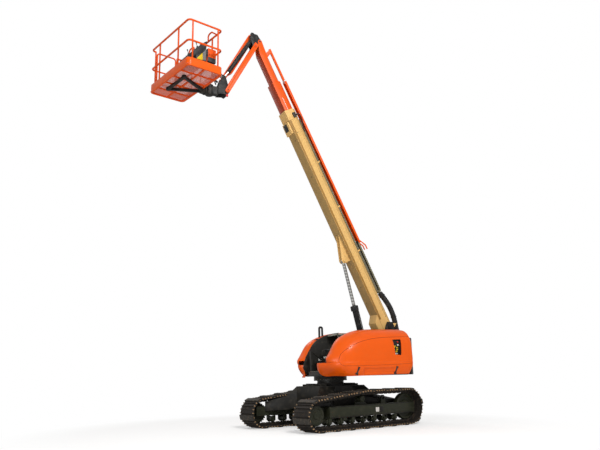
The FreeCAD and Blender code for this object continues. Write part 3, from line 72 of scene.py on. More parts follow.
@dataclass(frozen=True)
class Layout:
    """Where each frame stands, in metres and degrees, in the upper works' own frame."""

    slew: float = 13.6
    boom_angle: float = 64.2
    pivot: Point2 = (-1.624, 2.314)
    lift_foot: Point2 = (-1.028, 1.55)
    lift_eye: Point2 = (1.953, -0.343)
    arm_pin: Point2 = (2.001, 9.577)
    link_pin: Point2 = (1.918, 9.247)
    cylinder_top: Point2 = (2.001, 9.44)
    jib_length: float = 1.52
    jib_angle: float = -61.5
    rotator_x: float = 3.066
    platform_turn: float = 13.6
    platform_offset: float = 0.65
    floor_z: float = 7.854
    ring_low: float = 0.915

    def boom_point(self, along: float, above: float) -> Point2:
        """X and Z of a point given along and above the boom's pin line."""
        a = math.radians(self.boom_angle)
        return (self.pivot[0] + along * math.cos(a) - above * math.sin(a),
            self.pivot[1] + along * math.sin(a) + above * math.cos(a))

    def jib_end(self, start: Point2) -> Point2:
        """X and Z of a jib member's lower pin."""
        a = math.radians(self.jib_angle)
        return (start[0] + self.jib_length * math.cos(a), start[1] + self.jib_length * math.sin(a))

    @staticmethod
    def bar(start: Point2, end: Point2) -> Matrix:
        """Frame with X from one X, Z point to another."""
        angle = math.atan2(end[1] - start[1], end[0] - start[0])
        return Matrix.Translation((start[0], 0.0, start[1])) @ Matrix.Rotation(-angle, 4, "Y")

    def matrices(self) -> dict[Place, Matrix]:
        """Every frame's matrix in the row frame.

        Returns:
            The matrices by place, the chassis' one found from the slewing ring's box.
        """
        low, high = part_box("slewing_ring")
        chassis = Matrix.Translation(((low.x + high.x) / 2, (low.y + high.y) / 2,
            low.z - self.ring_low))
        upper = chassis @ Matrix.Rotation(-math.radians(self.slew), 4, "Z")
        turn = math.radians(self.platform_turn)
        platform = Matrix.Translation((self.rotator_x + self.platform_offset * math.cos(turn),
            self.platform_offset * math.sin(turn), self.floor_z))
        arm_end = self.jib_end(self.arm_pin)
        boom = self.bar(self.pivot, self.boom_point(1.0, 0.0))
        return {Place.CHASSIS: chassis, Place.UPPER: upper, Place.BOOM: upper @ boom,
            Place.LIFT: upper @ self.bar(self.lift_foot, self.boom_point(*self.lift_eye)),
            Place.JIB_ARM: upper @ self.bar(self.arm_pin, arm_end),
            Place.JIB_LINK: upper @ self.bar(self.link_pin, self.jib_end(self.link_pin)),
            Place.JIB_CYLINDER: upper @ self.bar(self.cylinder_top, arm_end),
            Place.PLATFORM: upper @ platform @ Matrix.Rotation(turn, 4, "Z"), }


LAYOUT = Layout()
PLACES = LAYOUT.matrices()


# ---------------------------------------------------------------- finishes
class ShaderGroups:
    """Node groups that several finishes share, each built once."""

    made: dict[str, Tree] = {}

    @classmethod
    def start(cls, name: str, inputs: Sequence[tuple[str, str, object]],
            outputs: Sequence[tuple[str, str]]) -> tuple[Tree, bpy.types.Node, bpy.types.Node]:
        """Makes an empty group with its sockets.

        Args:
            name: the group's name.
            inputs: name, socket type and default of each input.
            outputs: name and socket type of each output.
        Returns:
            The group, its input node and its output node.
        """
        tree = bpy.data.node_groups.new(name, "ShaderNodeTree")
        for label, kind, default in inputs:
            socket = tree.interface.new_socket(label, in_out="INPUT", socket_type=kind)
            if default is not None:
                socket.default_value = default
        for label, kind in outputs:
            tree.interface.new_socket(label, in_out="OUTPUT", socket_type=kind)
        cls.made[name] = tree
        return tree, tree.nodes.new("NodeGroupInput"), tree.nodes.new("NodeGroupOutput")

    @staticmethod
    def noise(tree: Tree, vector: bpy.types.NodeSocket, scale: float,
            detail: float = 3.0) -> bpy.types.NodeSocket:
        """A noise texture's value at one scale."""
        node = tree.nodes.new("ShaderNodeTexNoise")
        node.inputs["Scale"].default_value = scale
        node.inputs["Detail"].default_value = detail
        tree.links.new(vector, node.inputs["Vector"])
        return node.outputs["Fac"]

    @staticmethod
    def ramp(tree: Tree, value: bpy.types.NodeSocket, low: float, high: float,
            to: Point2 = (0.0, 1.0)) -> bpy.types.NodeSocket:
        """Stretches a value from one span to another."""
        node = tree.nodes.new("ShaderNodeMapRange")
        node.interpolation_type = "SMOOTHSTEP"
        for label, number in zip(("From Min", "From Max", "To Min", "To Max"), (low, high, *to)):
            node.inputs[label].default_value = number
        tree.links.new(value, node.inputs["Value"])
        return node.outputs["Result"]

    @staticmethod
    def math(tree: Tree, kind: str, a: object, b: object) -> bpy.types.NodeSocket:
        """One Math node on sockets or numbers."""
        node = tree.nodes.new("ShaderNodeMath")
        node.operation = kind
        for index, value in enumerate((a, b)):
            if isinstance(value, (int, float)):
                node.inputs[index].default_value = value
            else:
                tree.links.new(value, node.inputs[index])
        return node.outputs[0]

    @staticmethod
    def blend(tree: Tree, factor: object, a: object, b: object) -> bpy.types.NodeSocket:
        """Mixes two colours."""
        node = tree.nodes.new("ShaderNodeMix")
        node.data_type = "RGBA"
        for socket, value in ((node.inputs["Factor"], factor), (node.inputs[6], a),
                (node.inputs[7], b)):
            if isinstance(value, bpy.types.NodeSocket):
                tree.links.new(value, socket)
            else:
                socket.default_value = value
        return node.outputs[2]

    @classmethod
    def weathering(cls) -> Tree:
        """Paint that varies a little, with patches of dust and small chips."""
        if "weathering" in cls.made:
            return cls.made["weathering"]
        tree, given, out = cls.start("weathering", [("Vector", "NodeSocketVector", None),
            ("Base", "NodeSocketColor", (0.5, 0.5, 0.5, 1.0)),
            ("Worn", "NodeSocketColor", (0.3, 0.3, 0.3, 1.0)),
            ("Dust", "NodeSocketColor", (0.4, 0.35, 0.3, 1.0)), ("Variation", "NodeSocketFloat", 0.05),
            ("Dust Amount", "NodeSocketFloat", 0.1), ("Wear Amount", "NodeSocketFloat", 0.05),
            ("Roughness", "NodeSocketFloat", 0.4)], [("Color", "NodeSocketColor"),
            ("Roughness", "NodeSocketFloat"), ("Height", "NodeSocketFloat")])
        vector = given.outputs["Vector"]
        broad = cls.noise(tree, vector, 1.7, 2.0)
        cloud = cls.noise(tree, vector, 9.0, 4.0)
        fine = cls.noise(tree, vector, 140.0, 2.0)
        grain = cls.noise(tree, vector, 420.0, 1.0)
        shift = cls.math(tree, "MULTIPLY", cls.math(tree, "SUBTRACT", broad, 0.5),
            given.outputs["Variation"])
        tone = tree.nodes.new("ShaderNodeHueSaturation")
        tree.links.new(given.outputs["Base"], tone.inputs["Color"])
        tree.links.new(cls.math(tree, "ADD", 1.0, cls.math(tree, "MULTIPLY", shift, 4.0)),
            tone.inputs["Value"])
        dusty = cls.math(tree, "MULTIPLY", cls.ramp(tree, cloud, 0.45, 0.75),
            given.outputs["Dust Amount"])
        coloured = cls.blend(tree, dusty, tone.outputs["Color"], given.outputs["Dust"])
        chips = cls.math(tree, "MULTIPLY", cls.ramp(tree, cls.math(tree, "MULTIPLY", cloud, fine), 0.33,
            0.42), given.outputs["Wear Amount"])
        worn = cls.blend(tree, chips, coloured, given.outputs["Worn"])
        tree.links.new(worn, out.inputs["Color"])
        rough = cls.math(tree, "ADD", given.outputs["Roughness"],
            cls.math(tree, "MULTIPLY", dusty, 0.5))
        rough = cls.math(tree, "ADD", rough, cls.math(tree, "MULTIPLY",
            cls.math(tree, "SUBTRACT", fine, 0.5), 0.12))
        tree.links.new(rough, out.inputs["Roughness"])
        height = cls.math(tree, "ADD", cls.math(tree, "MULTIPLY", fine, 0.6),
            cls.math(tree, "MULTIPLY", grain, 0.4))
        tree.links.new(cls.math(tree, "SUBTRACT", height, chips), out.inputs["Height"])
        return tree


@dataclass(frozen=True)
class Finish:
    """One surface finish, painted, cast, rubber or plated."""

    name: str
    slot: str
    base: Point3
    worn: Point3 = (0.25, 0.24, 0.22)
    dust: Point3 = (0.42, 0.36, 0.28)
    metallic: float = 0.0
    roughness: float = 0.4
    variation: float = 0.03
    dust_amount: float = 0.08
    wear: float = 0.1
    bump: float = 0.02
    coat: float = 0.0
    scale: float = 1.0

    def nodes(self) -> tuple[bpy.types.Material, bpy.types.Node, bpy.types.Node]:
        """Builds the material round the weathering group.

        Returns:
            The material, its shader and its group node.
        """
        material = bpy.data.materials.new(self.name)
        material.use_nodes = True
        tree = material.node_tree
        shader = tree.nodes["Principled BSDF"]
        shader.inputs["Metallic"].default_value = self.metallic
        shader.inputs["Coat Weight"].default_value = self.coat
        shader.inputs["Coat Roughness"].default_value = 0.08
        shader.inputs["Specular IOR Level"].default_value = 0.22
        place = tree.nodes.new("ShaderNodeTexCoord")
        sizing = tree.nodes.new("ShaderNodeMapping")
        sizing.inputs["Scale"].default_value = (self.scale,) * 3
        tree.links.new(place.outputs["Object"], sizing.inputs["Vector"])
        group = tree.nodes.new("ShaderNodeGroup")
        group.node_tree = ShaderGroups.weathering()
        tree.links.new(sizing.outputs["Vector"], group.inputs["Vector"])
        for label, value in (("Base", (*self.base, 1.0)), ("Worn", (*self.worn, 1.0)),
                ("Dust", (*self.dust, 1.0)), ("Variation", self.variation),
                ("Dust Amount", self.dust_amount), ("Wear Amount", self.wear),
                ("Roughness", self.roughness)):
            group.inputs[label].default_value = value
        bump = tree.nodes.new("ShaderNodeBump")
        bump.inputs["Strength"].default_value = 0.35
        bump.inputs["Distance"].default_value = self.bump * 0.05
        tree.links.new(group.outputs["Height"], bump.inputs["Height"])
        tree.links.new(group.outputs["Color"], shader.inputs["Base Color"])
        tree.links.new(group.outputs["Roughness"], shader.inputs["Roughness"])
        tree.links.new(bump.outputs["Normal"], shader.inputs["Normal"])
        return material, shader, group

    def material(self) -> bpy.types.Material:
        """The finish's material, made at its first use."""
        found = bpy.data.materials.get(self.name)
        return found if found else self.nodes()[0]


@dataclass(frozen=True)
class PaintedReflectionRod(Finish):
    """Plated rod with painted reflections: darker bands that wind round it."""

    def nodes(self) -> tuple[bpy.types.Material, bpy.types.Node, bpy.types.Node]:
        """Adds winding bands of painted reflection, half as bright, to the plain finish."""
        material, shader, group = super().nodes()
        tree = material.node_tree
        wave = tree.nodes.new("ShaderNodeTexWave")
        wave.bands_direction = "Z"
        wave.inputs["Scale"].default_value = 4.2
        wave.inputs["Distortion"].default_value = 1.2
        tree.links.new(tree.nodes["Texture Coordinate"].outputs["Object"], wave.inputs["Vector"])
        band = ShaderGroups.ramp(tree, wave.outputs["Fac"], 0.3, 0.75)
        dark = tuple(c * 0.5 for c in self.base) + (1.0,)
        mixed = ShaderGroups.blend(tree, band, dark, group.outputs["Color"])
        tree.links.new(mixed, shader.inputs["Base Color"])
        return material, shader, group


class Paint:
    """The machine's finishes by the name a painter would use."""

    ORANGE = Finish("orange_hood_paint", "orange_paint", (0.9, 0.112, 0.002), worn=(0.55, 0.1, 0.02),
        dust=(0.5, 0.16, 0.05), roughness=0.34, coat=0.12, dust_amount=0.05, wear=0.04, bump=0.01)
    ORANGE_STEEL = Finish("orange_steel_paint", "orange_paint", (0.86, 0.098, 0.002),
        worn=(0.4, 0.08, 0.02), dust=(0.45, 0.14, 0.05), roughness=0.38, dust_amount=0.1, wear=0.12,
        bump=0.02)
    ORANGE_RAIL = Finish("orange_rail_paint", "rail_paint", (0.86, 0.098, 0.004),
        worn=(0.45, 0.1, 0.04), dust=(0.45, 0.14, 0.05), roughness=0.42, dust_amount=0.1, wear=0.18,
        bump=0.02)
    # Darker orange on the boom sections' down-facing faces: painted shade.
    SHADE_ORANGE = Finish("orange_underside_shade_paint", "orange_paint", (0.4, 0.042, 0.004), worn=(0.3, 0.06, 0.02),
        dust=(0.25, 0.06, 0.03), roughness=0.45, bump=0.02)
    SEAM = Finish("seam_shadow", "orange_paint", (0.33, 0.035, 0.004), roughness=0.6, bump=0.01)
    CREAM = Finish("cream_boom_paint", "cream_paint", (0.82, 0.51, 0.18), worn=(0.5, 0.33, 0.14),
        roughness=0.5, dust=(0.5, 0.33, 0.14), dust_amount=0.12, wear=0.12, bump=0.02)
    # Darker tan on the base section's down-facing faces, painted shade; also the colour of its joint
    # lines.
    SHADE_AND_SEAM_TAN = Finish("tan_shade_and_seam_paint", "cream_paint", (0.45, 0.285, 0.1), worn=(0.35, 0.23, 0.1),
        roughness=0.48, dust=(0.3, 0.2, 0.09), dust_amount=0.15, wear=0.12, bump=0.02)
    # Dark ochre band low on the base section's sides: painted shade.
    SHADE_OCHRE = Finish("ochre_lower_side_shade_paint", "cream_paint", (0.36, 0.19, 0.045), worn=(0.25, 0.15, 0.05),
        roughness=0.5, dust_amount=0.15, wear=0.12, bump=0.02)
    BLACK = Finish("black_satin_paint", "dark_paint", (0.013, 0.012, 0.01), worn=(0.09, 0.08, 0.07),
        roughness=0.38, dust=(0.1, 0.085, 0.06), dust_amount=0.2, wear=0.25, bump=0.03)
    OLIVE = Finish("olive_black_paint", "dark_paint", (0.022, 0.024, 0.013), worn=(0.1, 0.085, 0.06),
        roughness=0.4, dust=(0.06, 0.055, 0.035), dust_amount=0.22, wear=0.15, bump=0.03)
    CAST = Finish("black_casting", "black_cast", (0.016, 0.017, 0.018), worn=(0.14, 0.13, 0.12),
        roughness=0.45, dust_amount=0.06, wear=0.3, bump=0.12, scale=1.3)
    WEIGHT = Finish("counterweight_casting", "counterweight_paint", (0.02, 0.018, 0.015),
        worn=(0.1, 0.08, 0.06), roughness=0.5, dust_amount=0.15, wear=0.2, bump=0.14)
    SHOE = Finish("track_shoe_steel", "track_steel", (0.026, 0.022, 0.019), worn=(0.14, 0.09, 0.05),
        metallic=0.3, roughness=0.52, dust=(0.075, 0.06, 0.045), dust_amount=0.5, wear=0.6,
        variation=0.06, bump=0.16, scale=1.6)
    PAD = Finish("worn_pad", "track_steel", (0.04, 0.036, 0.03), worn=(0.22, 0.17, 0.12), metallic=0.1,
        roughness=0.6, dust=(0.11, 0.09, 0.07), dust_amount=0.6, wear=0.9, variation=0.07, bump=0.2,
        scale=2.0)
    BRONZE = Finish("rubbed_edge_steel", "track_steel", (0.48, 0.31, 0.17), worn=(0.07, 0.05, 0.04),
        metallic=0.3, roughness=0.42, dust=(0.1, 0.07, 0.05), dust_amount=0.6, wear=0.9, variation=0.08,
        bump=0.14, scale=3.0)
    # Chrome rods carry painted reflection bands.
    CHROME = PaintedReflectionRod("plated_rod", "rod_chrome", (0.62, 0.62, 0.6), metallic=1.0, roughness=0.16,
        dust_amount=0.03, wear=0.02, bump=0.004)
    STEEL = Finish("zinc_plated_steel", "alloy", (0.5, 0.5, 0.47), worn=(0.2, 0.2, 0.19), metallic=0.9,
        roughness=0.32, bump=0.03)
    GREY = Finish("grey_cover_paint", "grey_paint", (0.3, 0.285, 0.235), worn=(0.2, 0.19, 0.16),
        roughness=0.5)
    PLATE = Finish("bare_pale_plate", "alloy", (0.74, 0.7, 0.66), worn=(0.6, 0.35, 0.25), roughness=0.5,
        wear=0.3)
    HOSE = Finish("black_hose_rubber", "black_plastic", (0.02, 0.02, 0.021), worn=(0.06, 0.06, 0.06),
        roughness=0.48, dust_amount=0.2, bump=0.05)
    GREY_HOSE = Finish("grey_hose_cover", "grey_plastic", (0.33, 0.35, 0.36), roughness=0.45)
    SLEEVE = Finish("woven_sleeve", "black_plastic", (0.02, 0.02, 0.021), worn=(0.09, 0.09, 0.09),
        roughness=0.62, dust=(0.09, 0.09, 0.085), dust_amount=0.5, wear=0.6, bump=0.3, scale=1.4)
    CHAIN = Finish("chain_plastic", "black_plastic", (0.185, 0.17, 0.105), worn=(0.3, 0.27, 0.17),
        roughness=0.5, dust=(0.12, 0.11, 0.07), dust_amount=0.5, wear=0.4, bump=0.06)
    PLASTIC = Finish("console_plastic", "grey_plastic", (0.04, 0.045, 0.048), roughness=0.42, bump=0.08)
    PANEL = Finish("grey_panel", "grey_plastic", (0.22, 0.235, 0.24), roughness=0.45, bump=0.05)
    YELLOW = Finish("yellow_panel", "grey_plastic", (0.83, 0.62, 0.02), roughness=0.4)
    RED = Finish("red_knob", "grey_plastic", (0.65, 0.03, 0.02), roughness=0.35)
    WHITE = Finish("white_marking", "alloy", (0.8, 0.8, 0.78), roughness=0.45)
    MESH = Finish("floor_mesh_paint", "alloy", (0.85, 0.3, 0.24), worn=(0.35, 0.2, 0.2), roughness=0.5)
    ENGINE = Finish("engine_castings", "engine_alloy", (0.2, 0.21, 0.22), metallic=0.6, roughness=0.45,
        bump=0.1)


# ---------------------------------------------------------------- workbench
class Bench:
    """Modelling by hand: primitives, edit-mode operators and applied modifiers."""

    @staticmethod
    def clear() -> None:
        """Leaves edit mode and deselects everything."""
        if bpy.context.object and bpy.context.object.mode != "OBJECT":
            bpy.ops.object.mode_set(mode="OBJECT")
        bpy.ops.object.select_all(action="DESELECT")

    @classmethod
    def pick(cls, obj: Obj) -> Obj:
        """Makes one object the only selected and active one."""
        cls.clear()
        obj.select_set(True)
        bpy.context.view_layer.objects.active = obj
        return obj

    @classmethod
    def apply(cls, obj: Obj) -> Obj:
        """Applies every modifier of an object."""
        cls.pick(obj)
        for modifier in list(obj.modifiers):
            bpy.ops.object.modifier_apply(modifier=modifier.name)
        return obj

    @classmethod
    def ease(cls, obj: Obj, width: float, segments: int = 2, angle: float = 30.0) -> Obj:
        """Rounds the sharp edges of an object.

        Args:
            obj: the object.
            width: the round's width in metres; 0 leaves it sharp.
            segments: faces across the round.
            angle: edges sharper than this are rounded, in degrees.
        Returns:
            The same object.
        """
        if width > 0.0:
            bevel = obj.modifiers.new("Ease", "BEVEL")
            bevel.width = width
            bevel.segments = segments
            bevel.limit_method = "ANGLE"
            bevel.angle_limit = math.radians(angle)
            bevel.use_clamp_overlap = True
            cls.apply(obj)
        return obj

    @classmethod
    def block(cls, x: Point2, y: Point2, z: Point2, edge: float = 0.003, segments: int = 2) -> Obj:
        """Block between two corners with eased edges."""
        cls.clear()
        bpy.ops.mesh.primitive_cube_add(size=1.0)
        obj = bpy.context.object
        middle = Matrix.Translation(((x[0] + x[1]) / 2, (y[0] + y[1]) / 2, (z[0] + z[1]) / 2))
        obj.data.transform(middle @ Matrix.Diagonal((x[1] - x[0], y[1] - y[0], z[1] - z[0], 1.0)))
        return cls.ease(obj, edge, segments)

    @classmethod
    def turned(cls, profile: Sequence[Point2], axis: str = "Y", steps: int = 48) -> Obj:
        """Round form spun from a profile about an axis through the origin.

        Args:
            profile: radius and place along the axis of each corner; ends on the axis close it.
            axis: X, Y or Z.
            steps: faces round it.
        Returns:
            The closed object.
        """
        cls.clear()
        bpy.ops.mesh.primitive_plane_add(size=0.1)
        obj = bpy.context.object
        mesh = obj.data
        mesh.clear_geometry()
        place = {"X": lambda r, a: (a, r, 0.0), "Y": lambda r, a: (r, a, 0.0), "Z": lambda r,
            a: (r, 0.0, a)}[axis]
        mesh.from_pydata([place(r, a) for r, a in profile],
            [(i, i + 1) for i in range(len(profile) - 1)], [])
        direction = {"X": (1, 0, 0), "Y": (0, 1, 0), "Z": (0, 0, 1)}[axis]
        bpy.ops.object.mode_set(mode="EDIT")
        bpy.ops.mesh.select_all(action="SELECT")
        bpy.ops.mesh.spin(steps=steps, angle=math.tau, center=(0, 0, 0), axis=direction,
            use_auto_merge=True)
        bpy.ops.mesh.select_all(action="SELECT")
        bpy.ops.mesh.remove_doubles(threshold=1e-5)
        bpy.ops.mesh.normals_make_consistent(inside=False)
        bpy.ops.object.mode_set(mode="OBJECT")
        return obj

    @classmethod
    def drum(cls, radius: float, ends: Point2, centre: Point3 = (0.0, 0.0, 0.0), axis: str = "Y",
            edge: float = 0.003, steps: int = 40) -> Obj:
        """Solid round bar or disc along an axis, with eased rims."""
        a, b = ends
        e = min(edge, radius * 0.3, abs(b - a) * 0.3)
        obj = cls.turned([(0.0, a), (radius - e, a), (radius, a + e), (radius, b - e), (radius - e, b),
            (0.0, b)], axis, steps)
        obj.data.transform(Matrix.Translation(centre))
        return obj

    @classmethod
    def slab(cls, outline: Sequence[Point2], y: Point2, edge: float = 0.003) -> Obj:
        """Plate with an outline in X and Z, between two Y places."""
        cls.clear()
        bpy.ops.mesh.primitive_plane_add(size=0.1)
        obj = bpy.context.object
        obj.data.clear_geometry()
        obj.data.from_pydata([(x, y[0], z) for x, z in outline], [], [tuple(range(len(outline)))])
        bpy.ops.object.mode_set(mode="EDIT")
        bpy.ops.mesh.select_all(action="SELECT")
        bpy.ops.mesh.extrude_region_move(TRANSFORM_OT_translate={"value": (0.0, y[1] - y[0], 0.0)})
        bpy.ops.mesh.select_all(action="SELECT")
        bpy.ops.mesh.normals_make_consistent(inside=False)
        bpy.ops.object.mode_set(mode="OBJECT")
        return cls.ease(obj, edge)

    @classmethod
    def tube(cls, points: Sequence[Point3], radius: float, smooth: bool = True, closed: bool = False,
            sides: int = 3) -> Obj:
        """Hose, wire or rim along points.

        Args:
            points: the route, control points when smooth.
            radius: half the thickness.
            smooth: a NURBS line when true, straight runs when not.
            closed: joins the ends.
            sides: the bevel resolution.
        Returns:
            The tube as a mesh with closed ends.
        """
        cls.clear()
        curve = bpy.data.curves.new("route", "CURVE")
        curve.dimensions = "3D"
        curve.bevel_depth = radius
        curve.bevel_resolution = sides
        curve.resolution_u = 8
        curve.use_fill_caps = not closed
        spline = curve.splines.new("NURBS" if smooth else "POLY")
        spline.points.add(len(points) - 1)
        for target, point in zip(spline.points, points):
            target.co = (*point, 1.0)
        spline.use_cyclic_u = closed
        if smooth:
            spline.order_u = 3
            spline.use_endpoint_u = not closed
        obj = new_object("route", curve)
        cls.pick(obj)
        bpy.ops.object.convert(target="MESH")
        return bpy.context.object

    @classmethod
    def repeat(cls, obj: Obj, spots: Iterable[Matrix]) -> Obj:
        """Copies a finished mesh to many spots, as one object in place of the first."""
        whole = bmesh.new()
        for spot in spots:
            mesh = obj.data.copy()
            mesh.transform(spot)
            if spot.determinant() < 0.0:
                mesh.flip_normals()
            whole.from_mesh(mesh)
            bpy.data.meshes.remove(mesh)
        whole.to_mesh(obj.data)
        whole.free()
        return obj

    @classmethod
    def join(cls, objects: Sequence[Obj]) -> Obj:
        """Puts several meshes in the first one's object."""
        whole = bmesh.new()
        for obj in objects:
            whole.from_mesh(obj.data)
        whole.to_mesh(objects[0].data)
        whole.free()
        for obj in objects[1:]:
            bpy.data.objects.remove(obj)
        return objects[0]

    @classmethod
    def copy_of(cls, node: str, edge: float = 0.0, segments: int = 2, flat: float = 0.5) -> Obj:
        """A merged copy of a CAD node, its flat faces whole again and its edges eased.

        Args:
            node: the CAD node's name.
            edge: width of the rounds in metres.
            segments: faces across a round.
            flat: faces nearer to level than this are merged, in degrees.
        Returns:
            The copy, in the row frame.
        """
        form = bmesh.new()
        form.from_mesh(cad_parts[node].data)
        bmesh.ops.remove_doubles(form, verts=form.verts, dist=2e-5)
        bmesh.ops.dissolve_limit(form, angle_limit=math.radians(flat), verts=form.verts,
            edges=form.edges)
        mesh = bpy.data.meshes.new(node + "_form")
        form.to_mesh(mesh)
        form.free()
        obj = new_object(node + "_form", mesh)
        return cls.ease(obj, edge, segments)

    @staticmethod
    def underside(obj: Obj, finish: Finish, place: Place, ends: Point2, low: float) -> Obj:
        """Gives the faces that look down in a place's frame a finish of their own, a darker painted
        shade.

        Args:
            obj: the settled piece.
            finish: the second finish, the colour of the painted shade.
            place: the frame in which the faces look down.
            ends: the span along X that takes the finish.
            low: the height below which a face keeps the first finish.
        Returns:
            The same object.
        """
        obj.data.materials.append(finish.material())
        back = PLACES[place].inverted()
        for face in obj.data.polygons:
            middle = back @ face.center
            if (back.to_3x3()
                    @ face.normal).z < -0.5 and ends[0] < middle.x < ends[1] and middle.z > low:
                face.material_index = 1
        return obj

    @staticmethod
    def swell(obj: Obj, amount: float) -> Obj:
        """Moves a form's surface outwards by a coat of paint or a thicker tube wall."""
        moved = [v.co + v.normal * amount for v in obj.data.vertices]
        for vertex, place in zip(obj.data.vertices, moved):
            vertex.co = place
        return obj

    @classmethod
    def settle(cls, obj: Obj, name: str, finish: Finish, body: str, place: Optional[Place] = None,
            replaces: Sequence[str] = (), smooth: float = 35.0) -> Obj:
        """Puts a finished piece in the row frame, paints it and lets it ride on its body.

        Args:
            obj: the piece, drawn in its place's frame.
            name: its plain name.
            finish: its finish.
            body: the CAD body that carries it.
            place: its frame; none where it is in the row frame already.
            replaces: CAD nodes it stands for.
            smooth: faces nearer to level than this shade as one, in degrees.
        Returns:
            The same object.
        """
        if place is not None:
            obj.data.transform(PLACES[place])
        obj.name = name
        obj.data.name = name
        obj.data.materials.clear()
        obj.data.materials.append(finish.material())
        for face in obj.data.polygons:
            face.material_index = 0
        cls.pick(obj)
        if smooth > 0.0:
            bpy.ops.object.shade_smooth_by_angle(angle=math.radians(smooth))
        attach(obj, body)
        for node in replaces:
            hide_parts(node)
        log.info("%s: %d faces", name, len(obj.data.polygons))
        return obj


def spot(x: float, y: float, z: float) -> Matrix:
    """A place without a turn."""
    return Matrix.Translation((x, y, z))


def outward(side: float) -> Matrix:
    """A turn that points Z to the left for 1 and to the right for -1."""
    return Matrix.Rotation(-side * math.pi / 2, 4, "X")


def circle(count: int, radius: float, z: float) -> list[Matrix]:
    """Evenly turned places round the Z axis."""
    return [Matrix.Rotation(math.tau * i / count, 4, "Z") @ spot(radius, 0.0, z) for i in range(count)]


def new_object(name: str, data: bpy.types.ID) -> Obj:
    """An object on some data, in the scene."""
    obj = bpy.data.objects.new(name, data)
    bpy.context.scene.collection.objects.link(obj)
    return obj


def facing(point: Vector, normal: Vector) -> Matrix:
    """A place whose Z looks along a normal."""
    return Matrix.Translation(point) @ Vector(normal).to_track_quat("Z", "Y").to_matrix().to_4x4()


class Fastener:
    """Hexagon bolts and round pin caps, modelled once and copied."""

    @staticmethod
    def bolts(spots: Sequence[Matrix], size: float) -> Obj:
        """Bolt heads of one size, standing along their spots' Z."""
        washer = Bench.turned([(0.0, 0.0), (size * 1.25, 0.0), (size * 1.25, size * 0.2),
            (0.0, size * 0.2)], "Z", 12)
        head = Bench.turned([(0.0, 0.0), (size, 0.0), (size, size * 0.7), (size * 0.8, size * 0.85),
            (0.0, size * 0.85)], "Z", 6)
        return Bench.repeat(Bench.join([washer, head]), spots)

    @staticmethod
    def pin_cap(radius: float, ends: Point2, x: float, z: float) -> Obj:
        """Pin end with a raised collar and a keeper bolt."""
        a, b = ends
        sign = 1.0 if b > a else -1.0
        cap = Bench.turned([(0.0, a), (radius, a), (radius, b - sign * 0.006), (radius - 0.006, b),
            (radius * 0.5, b), (radius * 0.42, b - sign * 0.006), (0.0, b - sign * 0.006)], "Y", 28)
        cap.data.transform(spot(x, 0.0, z))
        return cap


class Assembly:
    """Pieces that share a body and a frame, unless one of them says otherwise."""

    body = "chassis"
    place = Place.CHASSIS

    def put(self, form: Obj | Sequence[Obj], name: str, finish: Finish, body: str = "",
            place: Optional[Place] = None, replaces: Sequence[str] = (), smooth: float = 35.0) -> Obj:
        """Settles one form, or several as one, drawn in the assembly's frame.

        Args:
            form: the form, or the forms to join.
            name: the piece's plain name.
            finish: its finish.
            body: the CAD body that carries it, if not the assembly's.
            place: its frame, if not the assembly's.
            replaces: CAD nodes it stands for.
            smooth: faces nearer to level than this shade as one, in degrees.
        Returns:
            The settled piece.
        """
        obj = form if isinstance(form, Obj) else Bench.join(form)
        return Bench.settle(obj, name, finish, body or self.body, place or self.place, replaces, smooth)

    def dress(self, node: str, edge: float, finish: Finish, name: str = "", body: str = "",
            smooth: float = 35.0, segments: int = 2, flat: float = 0.5) -> Obj:
        """Settles an eased copy of a CAD node in the node's stead.

        Args:
            node: the CAD node.
            edge: width of the rounds in metres.
            finish: the copy's finish.
            name: the piece's name, if not the node's with _form.
            body: the CAD body that carries it, if not the assembly's.
            smooth: faces nearer to level than this shade as one, in degrees.
            segments: faces across a round.
            flat: faces nearer to level than this are merged, in degrees.
        Returns:
            The settled copy.
        """
        form = Bench.copy_of(node, edge, segments, flat)
        return Bench.settle(form, name or node + "_form", finish, body or self.body, None, [node],
            smooth)


# ---------------------------------------------------------------- undercarriage
Run = tuple[float, Callable[[float], tuple[float, float, float]]]
SIDES = (("left", 1.0), ("right", -1.0))


